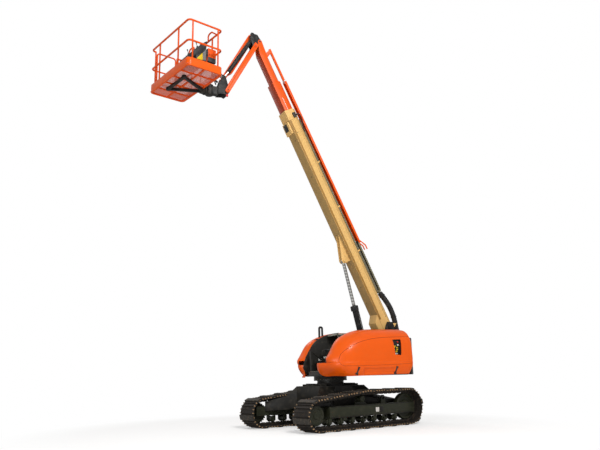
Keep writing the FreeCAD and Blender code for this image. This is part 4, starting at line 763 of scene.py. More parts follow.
@dataclass
class CrawlerTrack(Assembly):
    """One crawler: shoes, pads, links, wheels, rollers and the beam that carries them."""

    name: str
    side: float
    half_width: float = 1.25
    shoe_width: float = 0.53
    wheelbase: float = 2.815
    drive_reach: float = 0.341
    idler_reach: float = 0.413
    carrier_x: float = 0.02
    pads: int = 18
    pad_phase: float = 0.184
    pad_length: float = 0.118
    pad_height: float = 0.04
    bar_height: float = 0.026
    bar_thickness: float = 0.012
    bars: int = 4
    tip_length: float = 0.03
    clip_length: float = 0.022
    teeth: int = 23
    guard_places: Point3 = (-0.62, 0.0, 0.62)
    shoe_thickness: float = 0.014
    shoes_per_pad: int = 3
    chain_height: float = 0.062
    beam_out: float = 1.11
    beam_width: float = 0.25
    roller_radius: float = 0.07
    roller_count: int = 7

    def __post_init__(self) -> None:
        """Works out the track's middle and its loop."""
        self.middle = self.side * (self.half_width - self.shoe_width / 2)
        self.runs = self.path(self.pad_height)
        self.length = sum(length for length, _ in self.runs)

    def path(self, inset: float) -> list[Run]:
        """The loop as runs of a length and a function from distance to X, Z and outward angle.

        Args:
            inset: distance inside the pad faces.
        Returns:
            The runs in order from the idler's lowest point.
        """
        drive = (self.wheelbase / 2, self.drive_reach)
        idler = (-self.wheelbase / 2, self.idler_reach)
        r_drive = self.drive_reach - inset
        r_idler = self.idler_reach - inset
        top = 2 * self.idler_reach - inset
        dx, dz = drive[0] - self.carrier_x, drive[1] - top
        normal = math.atan2(dz, dx) + math.asin(r_drive / math.hypot(dx, dz)) + math.pi / 2
        touch = (drive[0] + r_drive * math.cos(normal), drive[1] + r_drive * math.sin(normal))

        def line(a: Point2, b: Point2, angle: float) -> Run:
            """Straight run."""
            length = math.dist(a, b)
            return length, lambda d: (a[0] + (b[0] - a[0]) * d / length,
                a[1] + (b[1] - a[1]) * d / length, angle)

        def arc(c: Point2, r: float, a0: float, a1: float) -> Run:
            """Run round a wheel."""
            length = (a1 - a0) * r
            return length, lambda d: (c[0] + r * math.cos(a0 + d / r), c[1] + r * math.sin(a0 + d / r),
                a0 + d / r)

        return [line((idler[0], inset), (drive[0], inset), -math.pi / 2),
            arc(drive, r_drive, -math.pi / 2, normal), line(touch, (self.carrier_x, top), normal),
            line((self.carrier_x, top), (idler[0], top), math.pi / 2),
            arc(idler, r_idler, math.pi / 2, math.pi * 1.5)]

    def at(self, distance: float) -> Matrix:
        """Place on the loop with X pointing outwards and Z back along it."""
        d = distance % self.length
        for length, where in self.runs:
            if d <= length:
                break
            d -= length
        x, z, angle = where(min(d, length))
        return spot(x, self.middle, z) @ Matrix.Rotation(-angle, 4, "Y")

    def shoes(self) -> None:
        """Plates, bars with rubbed tips, and pads round the loop."""
        half = self.shoe_width / 2
        pitch = self.length / self.pads
        step = pitch / self.shoes_per_pad
        plate = Bench.block((-self.shoe_thickness, 0.0), (-half, half),
            (-step / 2 + 0.004, step / 2 - 0.004), 0.003, 1)
        lip = Bench.block((-0.02, -0.006), (-half + 0.02, half - 0.02),
            (step / 2 - 0.02, step / 2 + 0.008), 0.003, 1)
        count = self.pads * self.shoes_per_pad
        spots = [self.at(self.pad_phase + i * step) for i in range(count)]
        self.put(Bench.repeat(Bench.join([plate, lip]), spots), "shoe_plates_" + self.name, Paint.SHOE,
            replaces=["track_belt_" + self.name])
        room = pitch - self.pad_length
        places = [self.pad_phase + i * pitch + self.pad_length / 2 + room * (k + 0.5) / self.bars
            for i in range(self.pads) for k in range(self.bars)]
        thick = self.bar_thickness / 2
        bar = Bench.block((-0.006, self.bar_height), (-half + 0.004, half - 0.004), (-thick, thick),
            0.003, 1)
        self.put(Bench.repeat(bar, [self.at(d) for d in places]), "shoe_bars_" + self.name, Paint.SHOE)
        tips = [Bench.block((-0.004, self.bar_height - 0.001),
            (s * half - self.tip_length * (s > 0), s * half + self.tip_length * (s < 0)),
            (-thick - 0.003, thick + 0.003), 0.002, 1) for s in (-1, 1)]
        self.put(Bench.repeat(Bench.join(tips), [self.at(d) for d in places]),
            "rubbed_bar_tips_" + self.name, Paint.BRONZE)
        pad = Bench.block((-0.004, self.pad_height), (-half, half),
            (-self.pad_length / 2, self.pad_length / 2), 0.009, 2)
        groove = Bench.block((self.pad_height * 0.3, self.pad_height * 0.62),
            (-half - 0.001, half + 0.001), (-self.pad_length / 2 - 0.003, self.pad_length / 2 + 0.003),
            0.002, 1)
        middles = [self.at(self.pad_phase + i * pitch) for i in range(self.pads)]
        self.put(Bench.repeat(pad, middles), "road_pads_" + self.name, Paint.PAD)
        self.put(Bench.repeat(groove, middles), "pad_carriers_" + self.name, Paint.SHOE)
        clips = [Bench.block((-0.012, self.pad_height * 0.8),
            (s * half - self.clip_length * (s > 0), s * half + self.clip_length * (s < 0)),
            (-0.022, 0.022), 0.003, 1) for s in (-1, 1)]
        self.put(Bench.repeat(Bench.join(clips), middles), "pad_clips_" + self.name, Paint.BRONZE)

    def chain(self) -> None:
        """Link plates and bushings inside the shoes."""
        step = self.length / (self.pads * self.shoes_per_pad)
        low = -self.shoe_thickness - self.chain_height
        plates = []
        for y in (-0.068, 0.052):
            link = Bench.slab([(low, -step * 0.3), (low + 0.014, -step * 0.52), (-0.024, -step * 0.52),
                (-0.014, -step * 0.34), (-0.014, step * 0.34), (-0.024, step * 0.52),
                (low + 0.014, step * 0.52), (low, step * 0.3)], (y, y + 0.016), 0.003)
            plates.append(link)
        bushing = Bench.drum(0.019, (-0.072, 0.072), (low + 0.031, 0.0, step / 2), edge=0.003, steps=14)
        links = Bench.join(plates + [bushing])
        count = self.pads * self.shoes_per_pad
        spots = [self.at(self.pad_phase + i * step) for i in range(count)]
        self.put(Bench.repeat(links, spots), "track_links_" + self.name, Paint.SHOE)

    def drive(self) -> None:
        """Toothed wheel, hub cover with its bolt circle and the motor's housing."""
        x, z = self.wheelbase / 2, self.drive_reach
        radius = self.drive_reach - self.pad_height - self.shoe_thickness - self.chain_height - 0.001
        y0 = self.middle
        outline = []
        for i in range(self.teeth):
            for share, reach in ((0.0, radius - 0.03), (0.3, radius - 0.026), (0.42, radius),
                    (0.78, radius), (0.9, radius - 0.026)):
                a = math.tau * (i + share) / self.teeth
                outline.append((x + reach * math.cos(a), z + reach * math.sin(a)))
        wheel = Bench.slab(outline, (y0 - 0.028, y0 + 0.028), 0.002)
        s = self.side
        hub = Bench.turned([(0.0, y0), (radius - 0.018, y0), (radius - 0.018, y0 + s * 0.112),
            (radius - 0.026, y0 + s * 0.12), (radius - 0.075, y0 + s * 0.12),
            (radius - 0.085, y0 + s * 0.108), (0.078, y0 + s * 0.108), (0.07, y0 + s * 0.119),
            (0.03, y0 + s * 0.119), (0.022, y0 + s * 0.114), (0.0, y0 + s * 0.114)], "Y", 56)
        hub.data.transform(spot(x, 0.0, z))
        inner = s * (self.beam_out - self.beam_width + 0.07)
        motor = Bench.turned([(0.0, inner), (0.105, inner), (0.125, inner + s * 0.02),
            (0.168, inner + s * 0.03), (radius - 0.045, inner + s * 0.04), (radius - 0.045, y0),
            (0.0, y0)], "Y", 40)
        motor.data.transform(spot(x, 0.0, z))
        self.put([wheel, hub, motor], "final_drive_form_" + self.name, Paint.OLIVE,
            replaces=["final_drive_" + self.name], smooth=30.0)
        look = outward(s)
        ring = [spot(x + r * math.cos(a), y0 + s * out, z + r * math.sin(a)) @ look
            for r, out, count, shift in ((0.172, 0.119, 16, 0), (0.102, 0.108, 10, 0.5))
            for a in (math.tau * (i + shift) / count for i in range(count))]
        self.put(Fastener.bolts(ring, 0.0095), "hub_bolts_" + self.name, Paint.OLIVE, smooth=0)

    def idler(self) -> None:
        """Rear wheel with its rim, web and hub."""
        radius = self.idler_reach - self.pad_height - self.shoe_thickness - self.chain_height - 0.001
        y0 = self.middle
        half = []
        for sign in (-1, 1):
            half.append([(radius - 0.002, y0 + sign * 0.052), (radius - 0.012, y0 + sign * 0.06),
                (radius - 0.052, y0 + sign * 0.06), (radius - 0.066, y0 + sign * 0.036),
                (0.14, y0 + sign * 0.03), (0.12, y0 + sign * 0.07), (0.095, y0 + sign * 0.092),
                (0.06, y0 + sign * 0.108), (0.0, y0 + sign * 0.108)])
        wheel = Bench.turned(list(reversed(half[0])) + half[1], "Y", 56)
        wheel.data.transform(spot(-self.wheelbase / 2, 0.0, self.idler_reach))
        self.put(wheel, "idler_form_" + self.name, Paint.OLIVE, replaces=["idler_" + self.name],
            smooth=30.0)

    def rollers(self) -> None:
        """Bottom rollers with flanges and axle blocks, and the carrier roller."""
        chain_top = self.pad_height + self.shoe_thickness + self.chain_height
        first = -self.wheelbase / 2 + 0.42
        step = (self.wheelbase - 0.8) / (self.roller_count - 1)
        r = self.roller_radius
        half = [(0.0, -0.118), (0.03, -0.118), (0.034, -0.1), (r - 0.012, -0.095), (r - 0.006, -0.086),
            (r - 0.006, -0.076), (r, -0.07), (r, -0.045), (r - 0.014, -0.04)]
        tread = Bench.turned(half + [(reach, -a) for reach, a in reversed(half)], "Y", 28)
        carriers = [Bench.block((-0.045, 0.045), (s * 0.112 - 0.013, s * 0.112 + 0.013),
            (-0.034, 0.078), 0.008) for s in (-1, 1)]
        z = chain_top + r
        spots = [spot(first + i * step, self.middle, z) for i in range(self.roller_count)]
        whole = Bench.repeat(Bench.join([tread] + carriers), spots)
        top_z = 2 * self.idler_reach - chain_top - r - 0.008
        a = self.side * (self.beam_out - self.beam_width + 0.03)
        b = self.middle + self.side * 0.095
        carrier = Bench.turned([(0.0, a), (r - 0.012, a), (r, a + self.side * 0.01),
            (r, b - self.side * 0.012), (r - 0.012, b), (0.04, b), (0.034, b - self.side * 0.008),
            (0.0, b - self.side * 0.008)], "Y", 32)
        carrier.data.transform(spot(self.carrier_x, 0.0, top_z))
        self.put([whole, carrier], "track_rollers_form_" + self.name, Paint.OLIVE,
            replaces=["track_rollers_" + self.name], smooth=30.0)

    def beam(self) -> None:
        """Side beam with eased edges, guards, a bare plate, a slot and its bolts."""
        self.dress("track_frame_" + self.name, 0.005, Paint.OLIVE, name="track_beam_form_" + self.name)
        s = self.side
        out = s * self.beam_out

        def on_face(x: Point2, z: Point2, lift: float) -> Obj:
            """Small plate on the beam's outer face."""
            return Bench.block(x, (min(out, out + s * lift), max(out, out + s * lift)), z, 0.002)

        self.put(on_face((-0.452, -0.345), (0.333, 0.431), 0.003), "bare_plate_" + self.name,
            Paint.PLATE)
        frame_parts = [on_face((-0.588, -0.47), (0.322, 0.45), 0.0035),
            on_face((-1.6, 1.0), (0.268, 0.284), 0.01), on_face((-1.6, 1.0), (0.489, 0.503), 0.006)]
        self.put(frame_parts, "beam_rims_" + self.name, Paint.BLACK)
        look = outward(s)
        guard = [Bench.block((x - 0.075, x + 0.075),
            (out - 0.012 if s > 0 else out, out if s > 0 else out + 0.012), (0.205, 0.268), 0.006)
            for x in self.guard_places]
        self.put(guard, "roller_guards_" + self.name, Paint.OLIVE)
        spots = [spot(x + dx, out, 0.238) @ look for x in self.guard_places for dx in (-0.045, 0.045)]
        spots += [spot(0.98 - 0.06 * i, out, 0.31 + 0.14 * (i % 2)) @ look for i in range(4)]
        self.put(Fastener.bolts(spots, 0.009), "beam_bolts_" + self.name, Paint.CAST, smooth=0)
        eye = Bench.turned([(0.034, -0.017), (0.044, -0.017), (0.047, -0.014), (0.047, 0.014),
            (0.044, 0.017), (0.034, 0.017), (0.034, -0.017)], "Y", 32)
        eye.data.transform(spot(-0.712, self.middle, 0.625))
        self.put(eye, "tie_down_ring_" + self.name, Paint.BLACK)

    def build(self) -> None:
        """Every piece of the track."""
        self.shoes()
        self.chain()
        self.drive()
        self.idler()
        self.rollers()
        self.beam()


@dataclass
class CentreFrame(Assembly):
    """Centre box with its legs, and the slewing ring with its bolts."""

    top: float = 0.915
    ring_radius: float = 0.318
    ring_top: float = 1.03

    def box(self) -> None:
        """Centre box and the plates welded on it."""
        self.dress("carbody", 0.006, Paint.BLACK, name="centre_frame_form")
        ribs = [Bench.block((x - 0.008, x + 0.008), (-0.36, 0.36), (self.top - 0.002, self.top + 0.055),
            0.002) for x in (-0.45, 0.45)]
        stops = [Bench.block((x - 0.05, x + 0.05), (y - 0.012, y + 0.012),
            (self.top - 0.002, self.top + 0.04), 0.004) for x in (-0.55, 0.55) for y in (-0.3, 0.3)]
        self.put(ribs + stops, "deck_ribs", Paint.BLACK)
        covers = [Bench.block((x0, x0 + 0.22), (-0.12, 0.12), (self.top - 0.002, self.top + 0.012),
            0.006) for x0 in (-0.66, 0.47)]
        self.put(covers, "deck_covers", Paint.OLIVE)

    def ring(self) -> None:
        """Slewing ring with a toothed band and the bolts round its foot."""
        r, low, high = self.ring_radius, self.top, self.ring_top
        body = Bench.turned([(0.0, low), (r, low), (r, low + 0.022), (r - 0.012, low + 0.026),
            (r - 0.012, high - 0.035), (r - 0.004, high - 0.028), (r - 0.004, high), (0.0, high)], "Z",
            64)
        self.put(body, "slewing_ring_form", Paint.BLACK, replaces=["slewing_ring"])
        tooth = Bench.block((r - 0.02, r - 0.002), (-0.006, 0.006), (low + 0.036, high - 0.042), 0.002,
            1)
        teeth = [Matrix.Rotation(math.tau * i / 90, 4, "Z") for i in range(90)]
        self.put(Bench.repeat(tooth, teeth), "ring_gear_teeth", Paint.SHOE)
        foot = circle(30, r - 0.006, low + 0.022)
        self.put(Fastener.bolts(foot, 0.007), "ring_foot_bolts", Paint.CAST, smooth=0)

    def build(self) -> None:
        """Every piece of the centre frame."""
        self.box()
        self.ring()


# ---------------------------------------------------------------- upper works
@dataclass
class Turntable(Assembly):
    """Slewing table, its valley between the hoods, and the tail weight."""

    body = "turntable"
    place = Place.UPPER
    flange_radius: float = 0.388
    ring_top: float = 1.03
    table_low: float = 1.128

    def table(self) -> None:
        """Table with its flange, bolts and step."""
        self.dress("turntable_frame", 0.004, Paint.BLACK, name="turntable_form")
        r = self.flange_radius
        band = Bench.turned([(r - 0.02, self.ring_top), (r + 0.002, self.ring_top),
            (r + 0.002, self.ring_top + 0.03), (r - 0.014, self.ring_top + 0.034),
            (r - 0.014, self.table_low), (r - 0.05, self.table_low)], "Z", 64)
        self.put(band, "flange_band", Paint.BLACK)
        spots = circle(28, r - 0.007, self.ring_top + 0.03)
        self.put(Fastener.bolts(spots, 0.0085), "flange_bolts", Paint.BRONZE, smooth=0)
        treads = [Bench.block((0.238 + 0.026 * i, 0.25 + 0.026 * i), (-0.3, 0.3),
            (self.table_low + 0.112, self.table_low + 0.122), 0.002) for i in range(6)]
        self.put(treads, "step_treads", Paint.GREY)

    def valley(self) -> None:
        """Black side panels, valve blocks, hoses and the sloping cover."""
        for name, _ in SIDES:
            self.dress("valley_side_" + name, 0.002, Paint.BLACK, name="valley_panel_" + name)
        self.dress("valley_cover", 0.004, Paint.GREY, name="valve_cover_form")
        self.put(Bench.block((-0.995, -0.435), (-0.291, -0.286), (self.table_low + 0.035, 2.11), 0.002),
            "valve_wall", Paint.BLACK)
        valves = [Bench.block((x, x + 0.11), (-0.5, -0.34), (1.42 + dz, 1.6 + dz), 0.008)
            for x, dz in ((-0.3, 0.0), (-0.16, -0.05), (-0.02, -0.1))]
        caps = [Bench.drum(0.024, (-0.03, 0.03), (x, -0.42, 1.62 + dz), "Z", 0.004, 16)
            for x, dz in ((-0.27, 0.0), (-0.22, 0.0), (-0.13, -0.05), (-0.08, -0.05), (0.01, -0.1),
            (0.06, -0.1))]
        self.put(valves, "valve_blocks", Paint.CAST)
        self.put(caps, "valve_caps", Paint.STEEL)
        hoses = [Bench.tube([(-0.27 + 0.05 * i, -0.42, 1.63), (-0.28 + 0.06 * i, -0.38, 1.76),
            (-0.42 + 0.05 * i, -0.27, 1.76), (-0.55 + 0.05 * i, -0.24 + 0.012 * i, 1.58),
            (-0.72, -0.24 + 0.014 * i, 1.36), (-0.98, -0.24 + 0.02 * i, 1.2)], 0.011) for i in range(6)]
        self.put(hoses, "valve_hoses", Paint.HOSE)
        drop = [Bench.tube([(0.1, -0.42 + 0.035 * i, 1.16), (0.13, -0.42 + 0.035 * i, 1.3),
            (0.05, -0.4 + 0.03 * i, 1.46), (-0.04, -0.42, 1.5)], 0.01) for i in range(3)]
        self.put(drop, "table_hoses", Paint.HOSE)
        tray = [Bench.block((0.02, 0.33), (-0.52, 0.2), (1.236, 1.246), 0.003),
            Bench.block((-0.25, 0.1), (0.2, 0.5), (1.165, 1.34), 0.012)]
        self.put(tray, "valley_boxes", Paint.CAST)

    def tail(self) -> None:
        """Tail weight with a rough cast skin and two lifting pockets."""
        self.dress("counterweight", 0.02, Paint.WEIGHT, segments=3)
        rims = [Bench.turned([(0.036, 0.0), (0.062, 0.0), (0.062, 0.006), (0.056, 0.01), (0.04, 0.01),
            (0.036, 0.006), (0.036, 0.0)], "Z", 28) for _ in range(2)]
        for rim, y in zip(rims, (-0.6, 0.6)):
            rim.data.transform(spot(-1.74, y, 1.979))
        self.put(rims, "lifting_rings", Paint.CAST)
        bolts = [spot(-1.69, y, 1.979) for y in (-0.8, -0.4, 0.4, 0.8)]
        self.put(Fastener.bolts(bolts, 0.016), "weight_bolts", Paint.CAST, smooth=0)

    def tower(self) -> None:
        """Caps of the boom's foot pin and of the lift cylinder's lower pin."""
        x, z = LAYOUT.pivot
        fx, fz = LAYOUT.lift_foot
        caps = [Fastener.pin_cap(0.06, (s * 0.212, s * 0.24), x, z) for s in (-1, 1)]
        caps += [Fastener.pin_cap(0.044, (s * 0.072, s * 0.088), fx, fz) for s in (-1, 1)]
        self.put(caps, "tower_pin_caps", Paint.CAST, smooth=30.0)

    def inside(self) -> None:
        """Engine, tank and the ground control box."""
        self.dress("engine", 0.015, Paint.ENGINE)
        self.dress("fluid_tank", 0.02, Paint.PLASTIC, name="tank_form")
        self.dress("control_cabinet", 0.006, Paint.PLASTIC, name="control_box_form")
        y = 1.053
        self.put(Bench.block((-1.3, -1.01), (y - 0.004, y + 0.006), (1.56, 1.93), 0.006),
            "control_face", Paint.CAST)
        look = outward(1.0)
        knobs = {"red": [(-1.1, 1.845), (-1.235, 1.87)],
            "yellow": [(-1.13, 1.745), (-1.19, 1.655), (-1.21, 1.7)],
            "white": [(-1.12, 1.63), (-1.16, 1.6), (-1.2, 1.6), (-1.24, 1.8)]}
        for colour, places in knobs.items():
            finish = {"red": Paint.RED, "yellow": Paint.YELLOW, "white": Paint.WHITE}[colour]
            knob = Bench.turned([(0.0, 0.0), (0.02, 0.0), (0.02, 0.008), (0.014, 0.012), (0.012, 0.028),
                (0.009, 0.032), (0.0, 0.032)], "Z", 20)
            spots = [spot(x, y + 0.005, z) @ look for x, z in places]
            self.put(Bench.repeat(knob, spots), colour + "_control_knobs", finish)
        strips = [Bench.block((x, x + 0.05), (y + 0.004, y + 0.012), (z, z + 0.022), 0.003)
            for x, z in ((-1.18, 1.765), (-1.155, 1.69), (-1.24, 1.735))]
        self.put(strips, "control_marks", Paint.YELLOW)

    def build(self) -> None:
        """Every piece of the turntable."""
        self.table()
        self.valley()
        self.tail()
        self.tower()
        self.inside()


@dataclass
class Hood(Assembly):
    """One moulded hood with its seams, latches and edge trim."""

    place = Place.UPPER
    name: str
    side: float
    seam: tuple[Point2, ...] = ((0.31, 1.46), (0.296, 1.53), (0.25, 1.62), (0.1, 1.735), (-0.167, 1.86),
        (-0.478, 1.934), (-0.762, 1.967), (-1.115, 1.985), (-1.56, 1.998))
    foot_seam: tuple[Point2, ...] = ((0.31, 1.46), (0.285, 1.395), (0.235, 1.357), (0.14, 1.348),
        (-0.446, 1.35), (-1.073, 1.363), (-1.575, 1.386))
    recess_x: Point2 = (-1.09, -0.24)
    recess_z: Point2 = (1.165, 1.3)
    recess_depth: float = 0.022
    latch_x: Point2 = (-0.125, -1.14)
    latch_shift: float = 0.055
    latch_height: float = 0.175
    edge: tuple[Point2, ...] = ((0.404, 1.432), (0.38, 1.51), (0.342, 1.6), (0.238, 1.77),
        (0.164, 1.88), (0.043, 1.99), (-0.152, 2.085), (-0.372, 2.148), (-0.585, 2.178))

    @property
    def body(self) -> str:
        """The CAD body that the hood is."""
        return "hood_" + self.name

    def surface(self) -> BVHTree:
        """The hood's surface in the upper works' frame."""
        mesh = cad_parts[self.body].data
        turn = PLACES[Place.UPPER].inverted()
        points = [turn @ v.co for v in mesh.vertices]
        return BVHTree.FromPolygons(points, [tuple(p.vertices) for p in mesh.polygons])

    def touch(self, tree: BVHTree, x: float, z: float) -> tuple[Vector, Vector]:
        """The point and outward normal where the hood's outside stands at X, Z."""
        hit, normal, _, _ = tree.ray_cast(Vector((x, self.side * 2.0, z)),
            Vector((0.0, -self.side, 0.0)))
        if hit is None:
            hit, normal = Vector((x, self.side * 1.0, z)), Vector((0.0, self.side, 0.0))
        return hit, (normal if normal.y * self.side > 0 else -normal)

    @staticmethod
    def smooth_line(points: Sequence[Point2], count: int) -> list[Point2]:
        """Evenly placed points on a smooth line through X, Z points."""
        spans = len(points) - 1
        line = []
        for i in range(count + 1):
            t = i / count * spans
            k = min(int(t), spans - 1)
            u = t - k
            p = [points[max(0, min(spans, k + j))] for j in (-1, 0, 1, 2)]
            line.append(tuple(0.5 * (2 * p[1][c] + (p[2][c] - p[0][c]) * u
                + (2 * p[0][c] - 5 * p[1][c] + 4 * p[2][c] - p[3][c]) * u * u
                + (3 * p[1][c] - p[0][c] - 3 * p[2][c] + p[3][c]) * u ** 3) for c in (0, 1)))
        return line

    def shell(self) -> None:
        """The hood's own form, its skirt pressed in between the latches."""
        obj = Bench.copy_of(self.body, 0.0, flat=0.05)
        turn = PLACES[Place.UPPER]
        obj.data.transform(turn.inverted())
        form = bmesh.new()
        form.from_mesh(obj.data)
        if self.side < 0:
            step = [f for f in form.faces if f.calc_center_median().y > -0.69
                and f.calc_center_median().z < 1.47 and f.calc_center_median().x > 0.0]
            bmesh.ops.delete(form, geom=step, context="FACES")
        x0, x1 = self.recess_x
        z0, z1 = self.recess_z
        cuts = [((x0, 0, 0), (1, 0, 0)), ((x0 + 0.03, 0, 0), (1, 0, 0)), ((x1 - 0.03, 0, 0), (1, 0, 0)),
            ((x1, 0, 0), (1, 0, 0)), ((0, 0, z1), (0, 0, 1)), ((0, 0, z1 - 0.025), (0, 0, 1)),
            ((0, 0, z0), (0, 0, 1)), ((0, 0, z0 + 0.02), (0, 0, 1))]
        for point, normal in cuts:
            near = [f for f in form.faces if abs(f.calc_center_median().y) > 0.9]
            geometry = list({v for f in near for v in f.verts}) + list({e for f in near
                for e in f.edges}) + near
            bmesh.ops.bisect_plane(form, geom=geometry, plane_co=point, plane_no=normal, dist=1e-5)
        for v in form.verts:
            inside = x0 + 0.02 < v.co.x < x1 - 0.02 and z0 + 0.01 < v.co.z < z1 - 0.01
            if inside and abs(v.co.y) > 0.98:
                v.co.y -= self.side * self.recess_depth
        form.to_mesh(obj.data)
        form.free()
        self.put(obj, "hood_form_" + self.name, Paint.ORANGE, replaces=[self.body], smooth=28.0)

    def seams(self, tree: BVHTree) -> None:
        """Shadow lines of the side panel's joints."""
        for label, points, radius in (("arched", self.seam, 0.0055), ("foot", self.foot_seam, 0.0035)):
            line = []
            for x, z in self.smooth_line(points, 60):
                hit, normal = self.touch(tree, x, z)
                line.append(tuple(hit - normal * radius * 0.35))
            self.put(Bench.tube(line, radius, smooth=False, sides=1), f"{label}_seam_{self.name}",
                Paint.SEAM)

    def latches(self, tree: BVHTree) -> None:
        """Rubber latches over the skirt."""
        whole = []
        for x in self.latch_x:
            top = self.touch(tree, x, 1.325)[0]
            low = self.touch(tree, x + self.latch_shift, 1.15)[0]
            lean = math.degrees(math.atan2(self.latch_shift, self.latch_height))
            strap = Bench.block((-0.019, 0.019), (-0.003, 0.016), (-0.088, 0.088), 0.005)
            knuckle = Bench.block((-0.034, 0.034), (-0.002, 0.026), (-0.02, 0.02), 0.007)
            knuckle.data.transform(spot(0.0, 0.0, -0.072))
            grip = Bench.block((-0.024, 0.024), (-0.002, 0.022), (-0.014, 0.014), 0.005)
            grip.data.transform(spot(0.0, 0.0, 0.078))
            latch = Bench.join([strap, knuckle, grip])
            middle = (top + low) / 2
            slope = math.degrees(math.atan2((top.y - low.y) * self.side, top.z - low.z))
            flip = Matrix.Diagonal((1.0, self.side, 1.0, 1.0))
            place = Matrix.Translation(middle) @ Matrix.Rotation(-math.radians(lean), 4, "Y") \
                @ Matrix.Rotation(-math.radians(slope) * self.side, 4, "X") @ flip
            whole.append(Bench.repeat(latch, [place]))
        self.put(whole, "hood_latches_" + self.name, Paint.HOSE)

    def trim(self) -> None:
        """Rubber edge towards the boom with its row of studs."""
        y = self.side * 0.5645
        line = [(x + 0.002, y, z + 0.002) for x, z in self.smooth_line(self.edge, 48)]
        self.put(Bench.tube(line, 0.008, smooth=False, sides=1), "edge_trim_" + self.name, Paint.HOSE)
        stud = Bench.turned([(0.0, 0.0), (0.007, 0.0), (0.006, 0.004), (0.0, 0.005)], "Z", 10)
        spots = []
        points = self.smooth_line(self.edge, 30)
        for (x0, z0), (x1, z1) in zip(points, points[1:]):
            out = Vector((z0 - z1, 0.0, x1 - x0)).normalized() * -1.0
            spots.append(facing(Vector((x0, y + self.side * 0.014, z0)) + out * 0.0065, out))
        self.put(Bench.repeat(stud, spots), "edge_studs_" + self.name, Paint.CAST)

    @staticmethod
    def exhaust(top: float) -> Obj:
        """Bent exhaust pipe, both legs through the hood's top."""
        first, second, y, reach = -0.16, -0.076, -0.65, 0.0255
        high = top - reach - 0.001
        bend = [(first, y, 1.99), (first, y, high - 0.05), (first + 0.004, y, high - 0.012),
            (first + 0.022, y, high), (second - 0.022, y, high), (second - 0.004, y, high - 0.012),
            (second, y, high - 0.05), (second, y, 1.99)]
        return Bench.tube(bend, reach, sides=4)

    def closing(self) -> None:
        """Black inner panel that closes the hood's open side at the valley."""
        y = sorted((self.side * 0.561, self.side * 0.564))
        rim = [(x - 0.003, z - 0.003) for x, z in self.smooth_line(self.edge, 24)]
        inner = [(x - 0.16 + 0.05 * i / 24, z - 0.13) for i, (x, z) in enumerate(rim)]
        self.put(Bench.slab(rim + inner[::-1], tuple(y), 0.0005), "hood_closing_" + self.name,
            Paint.BLACK)

    def nose(self, tree: BVHTree) -> None:
        """Rounded inner corner of the hood's nose, from its shell to the valley."""
        low = 1.444 if self.side > 0 else 1.105
        edge = (() if self.side > 0 else ((0.392, 1.1), (0.403, 1.383))) + self.edge
        levels = [low + (2.0 - low) * i / 36 for i in range(37)]
        columns = 8
        outer, inner = 0.706, 0.5655
        corners = []
        for z in levels:
            hit, _, _, _ = tree.ray_cast(Vector((2.0, self.side * outer, z)), Vector((-1.0, 0.0, 0.0)))
            start = hit.x if hit is not None else 0.4
            (xa, za), (xb, zb) = next(((a, b) for a, b in zip(edge, edge[1:]) if z <= b[1]), edge[-2:])
            end = xa + (xb - xa) * (z - za) / (zb - za)
            for k in range(columns + 1):
                u = k / columns
                corners.append((start + (end - start) * u ** 2.2 - 0.0005,
                    self.side * (outer + (inner - outer) * u), z))
        step = columns + 1
        faces = []
        for i in range(len(levels) - 1):
            for k in range(columns):
                quad = (i * step + k, i * step + k + 1, (i + 1) * step + k + 1, (i + 1) * step + k)
                faces.append(quad if self.side > 0 else quad[::-1])
        mesh = bpy.data.meshes.new("nose")
        mesh.from_pydata(corners, [], faces)
        mesh.update()
        obj = new_object("nose", mesh)
        wall = obj.modifiers.new("wall", "SOLIDIFY")
        wall.thickness = 0.01
        front = sum(f.normal.x for f in mesh.polygons) > 0
        wall.offset = -1.0 if front else 1.0
        Bench.apply(obj)
        form = bmesh.new()
        form.from_mesh(obj.data)
        bmesh.ops.recalc_face_normals(form, faces=form.faces)
        form.to_mesh(obj.data)
        form.free()
        self.put(obj, "hood_nose_" + self.name, Paint.ORANGE, smooth=40.0)

    def build(self) -> None:
        """Every piece of the hood."""
        tree = self.surface()
        self.closing()
        self.nose(tree)
        self.shell()
        self.seams(tree)
        self.latches(tree)
        self.trim()
        if self.side < 0:
            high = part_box("exhaust_pipe")[1]
            self.put(self.exhaust(high.z), "exhaust_form", Paint.CAST, replaces=["exhaust_pipe"])


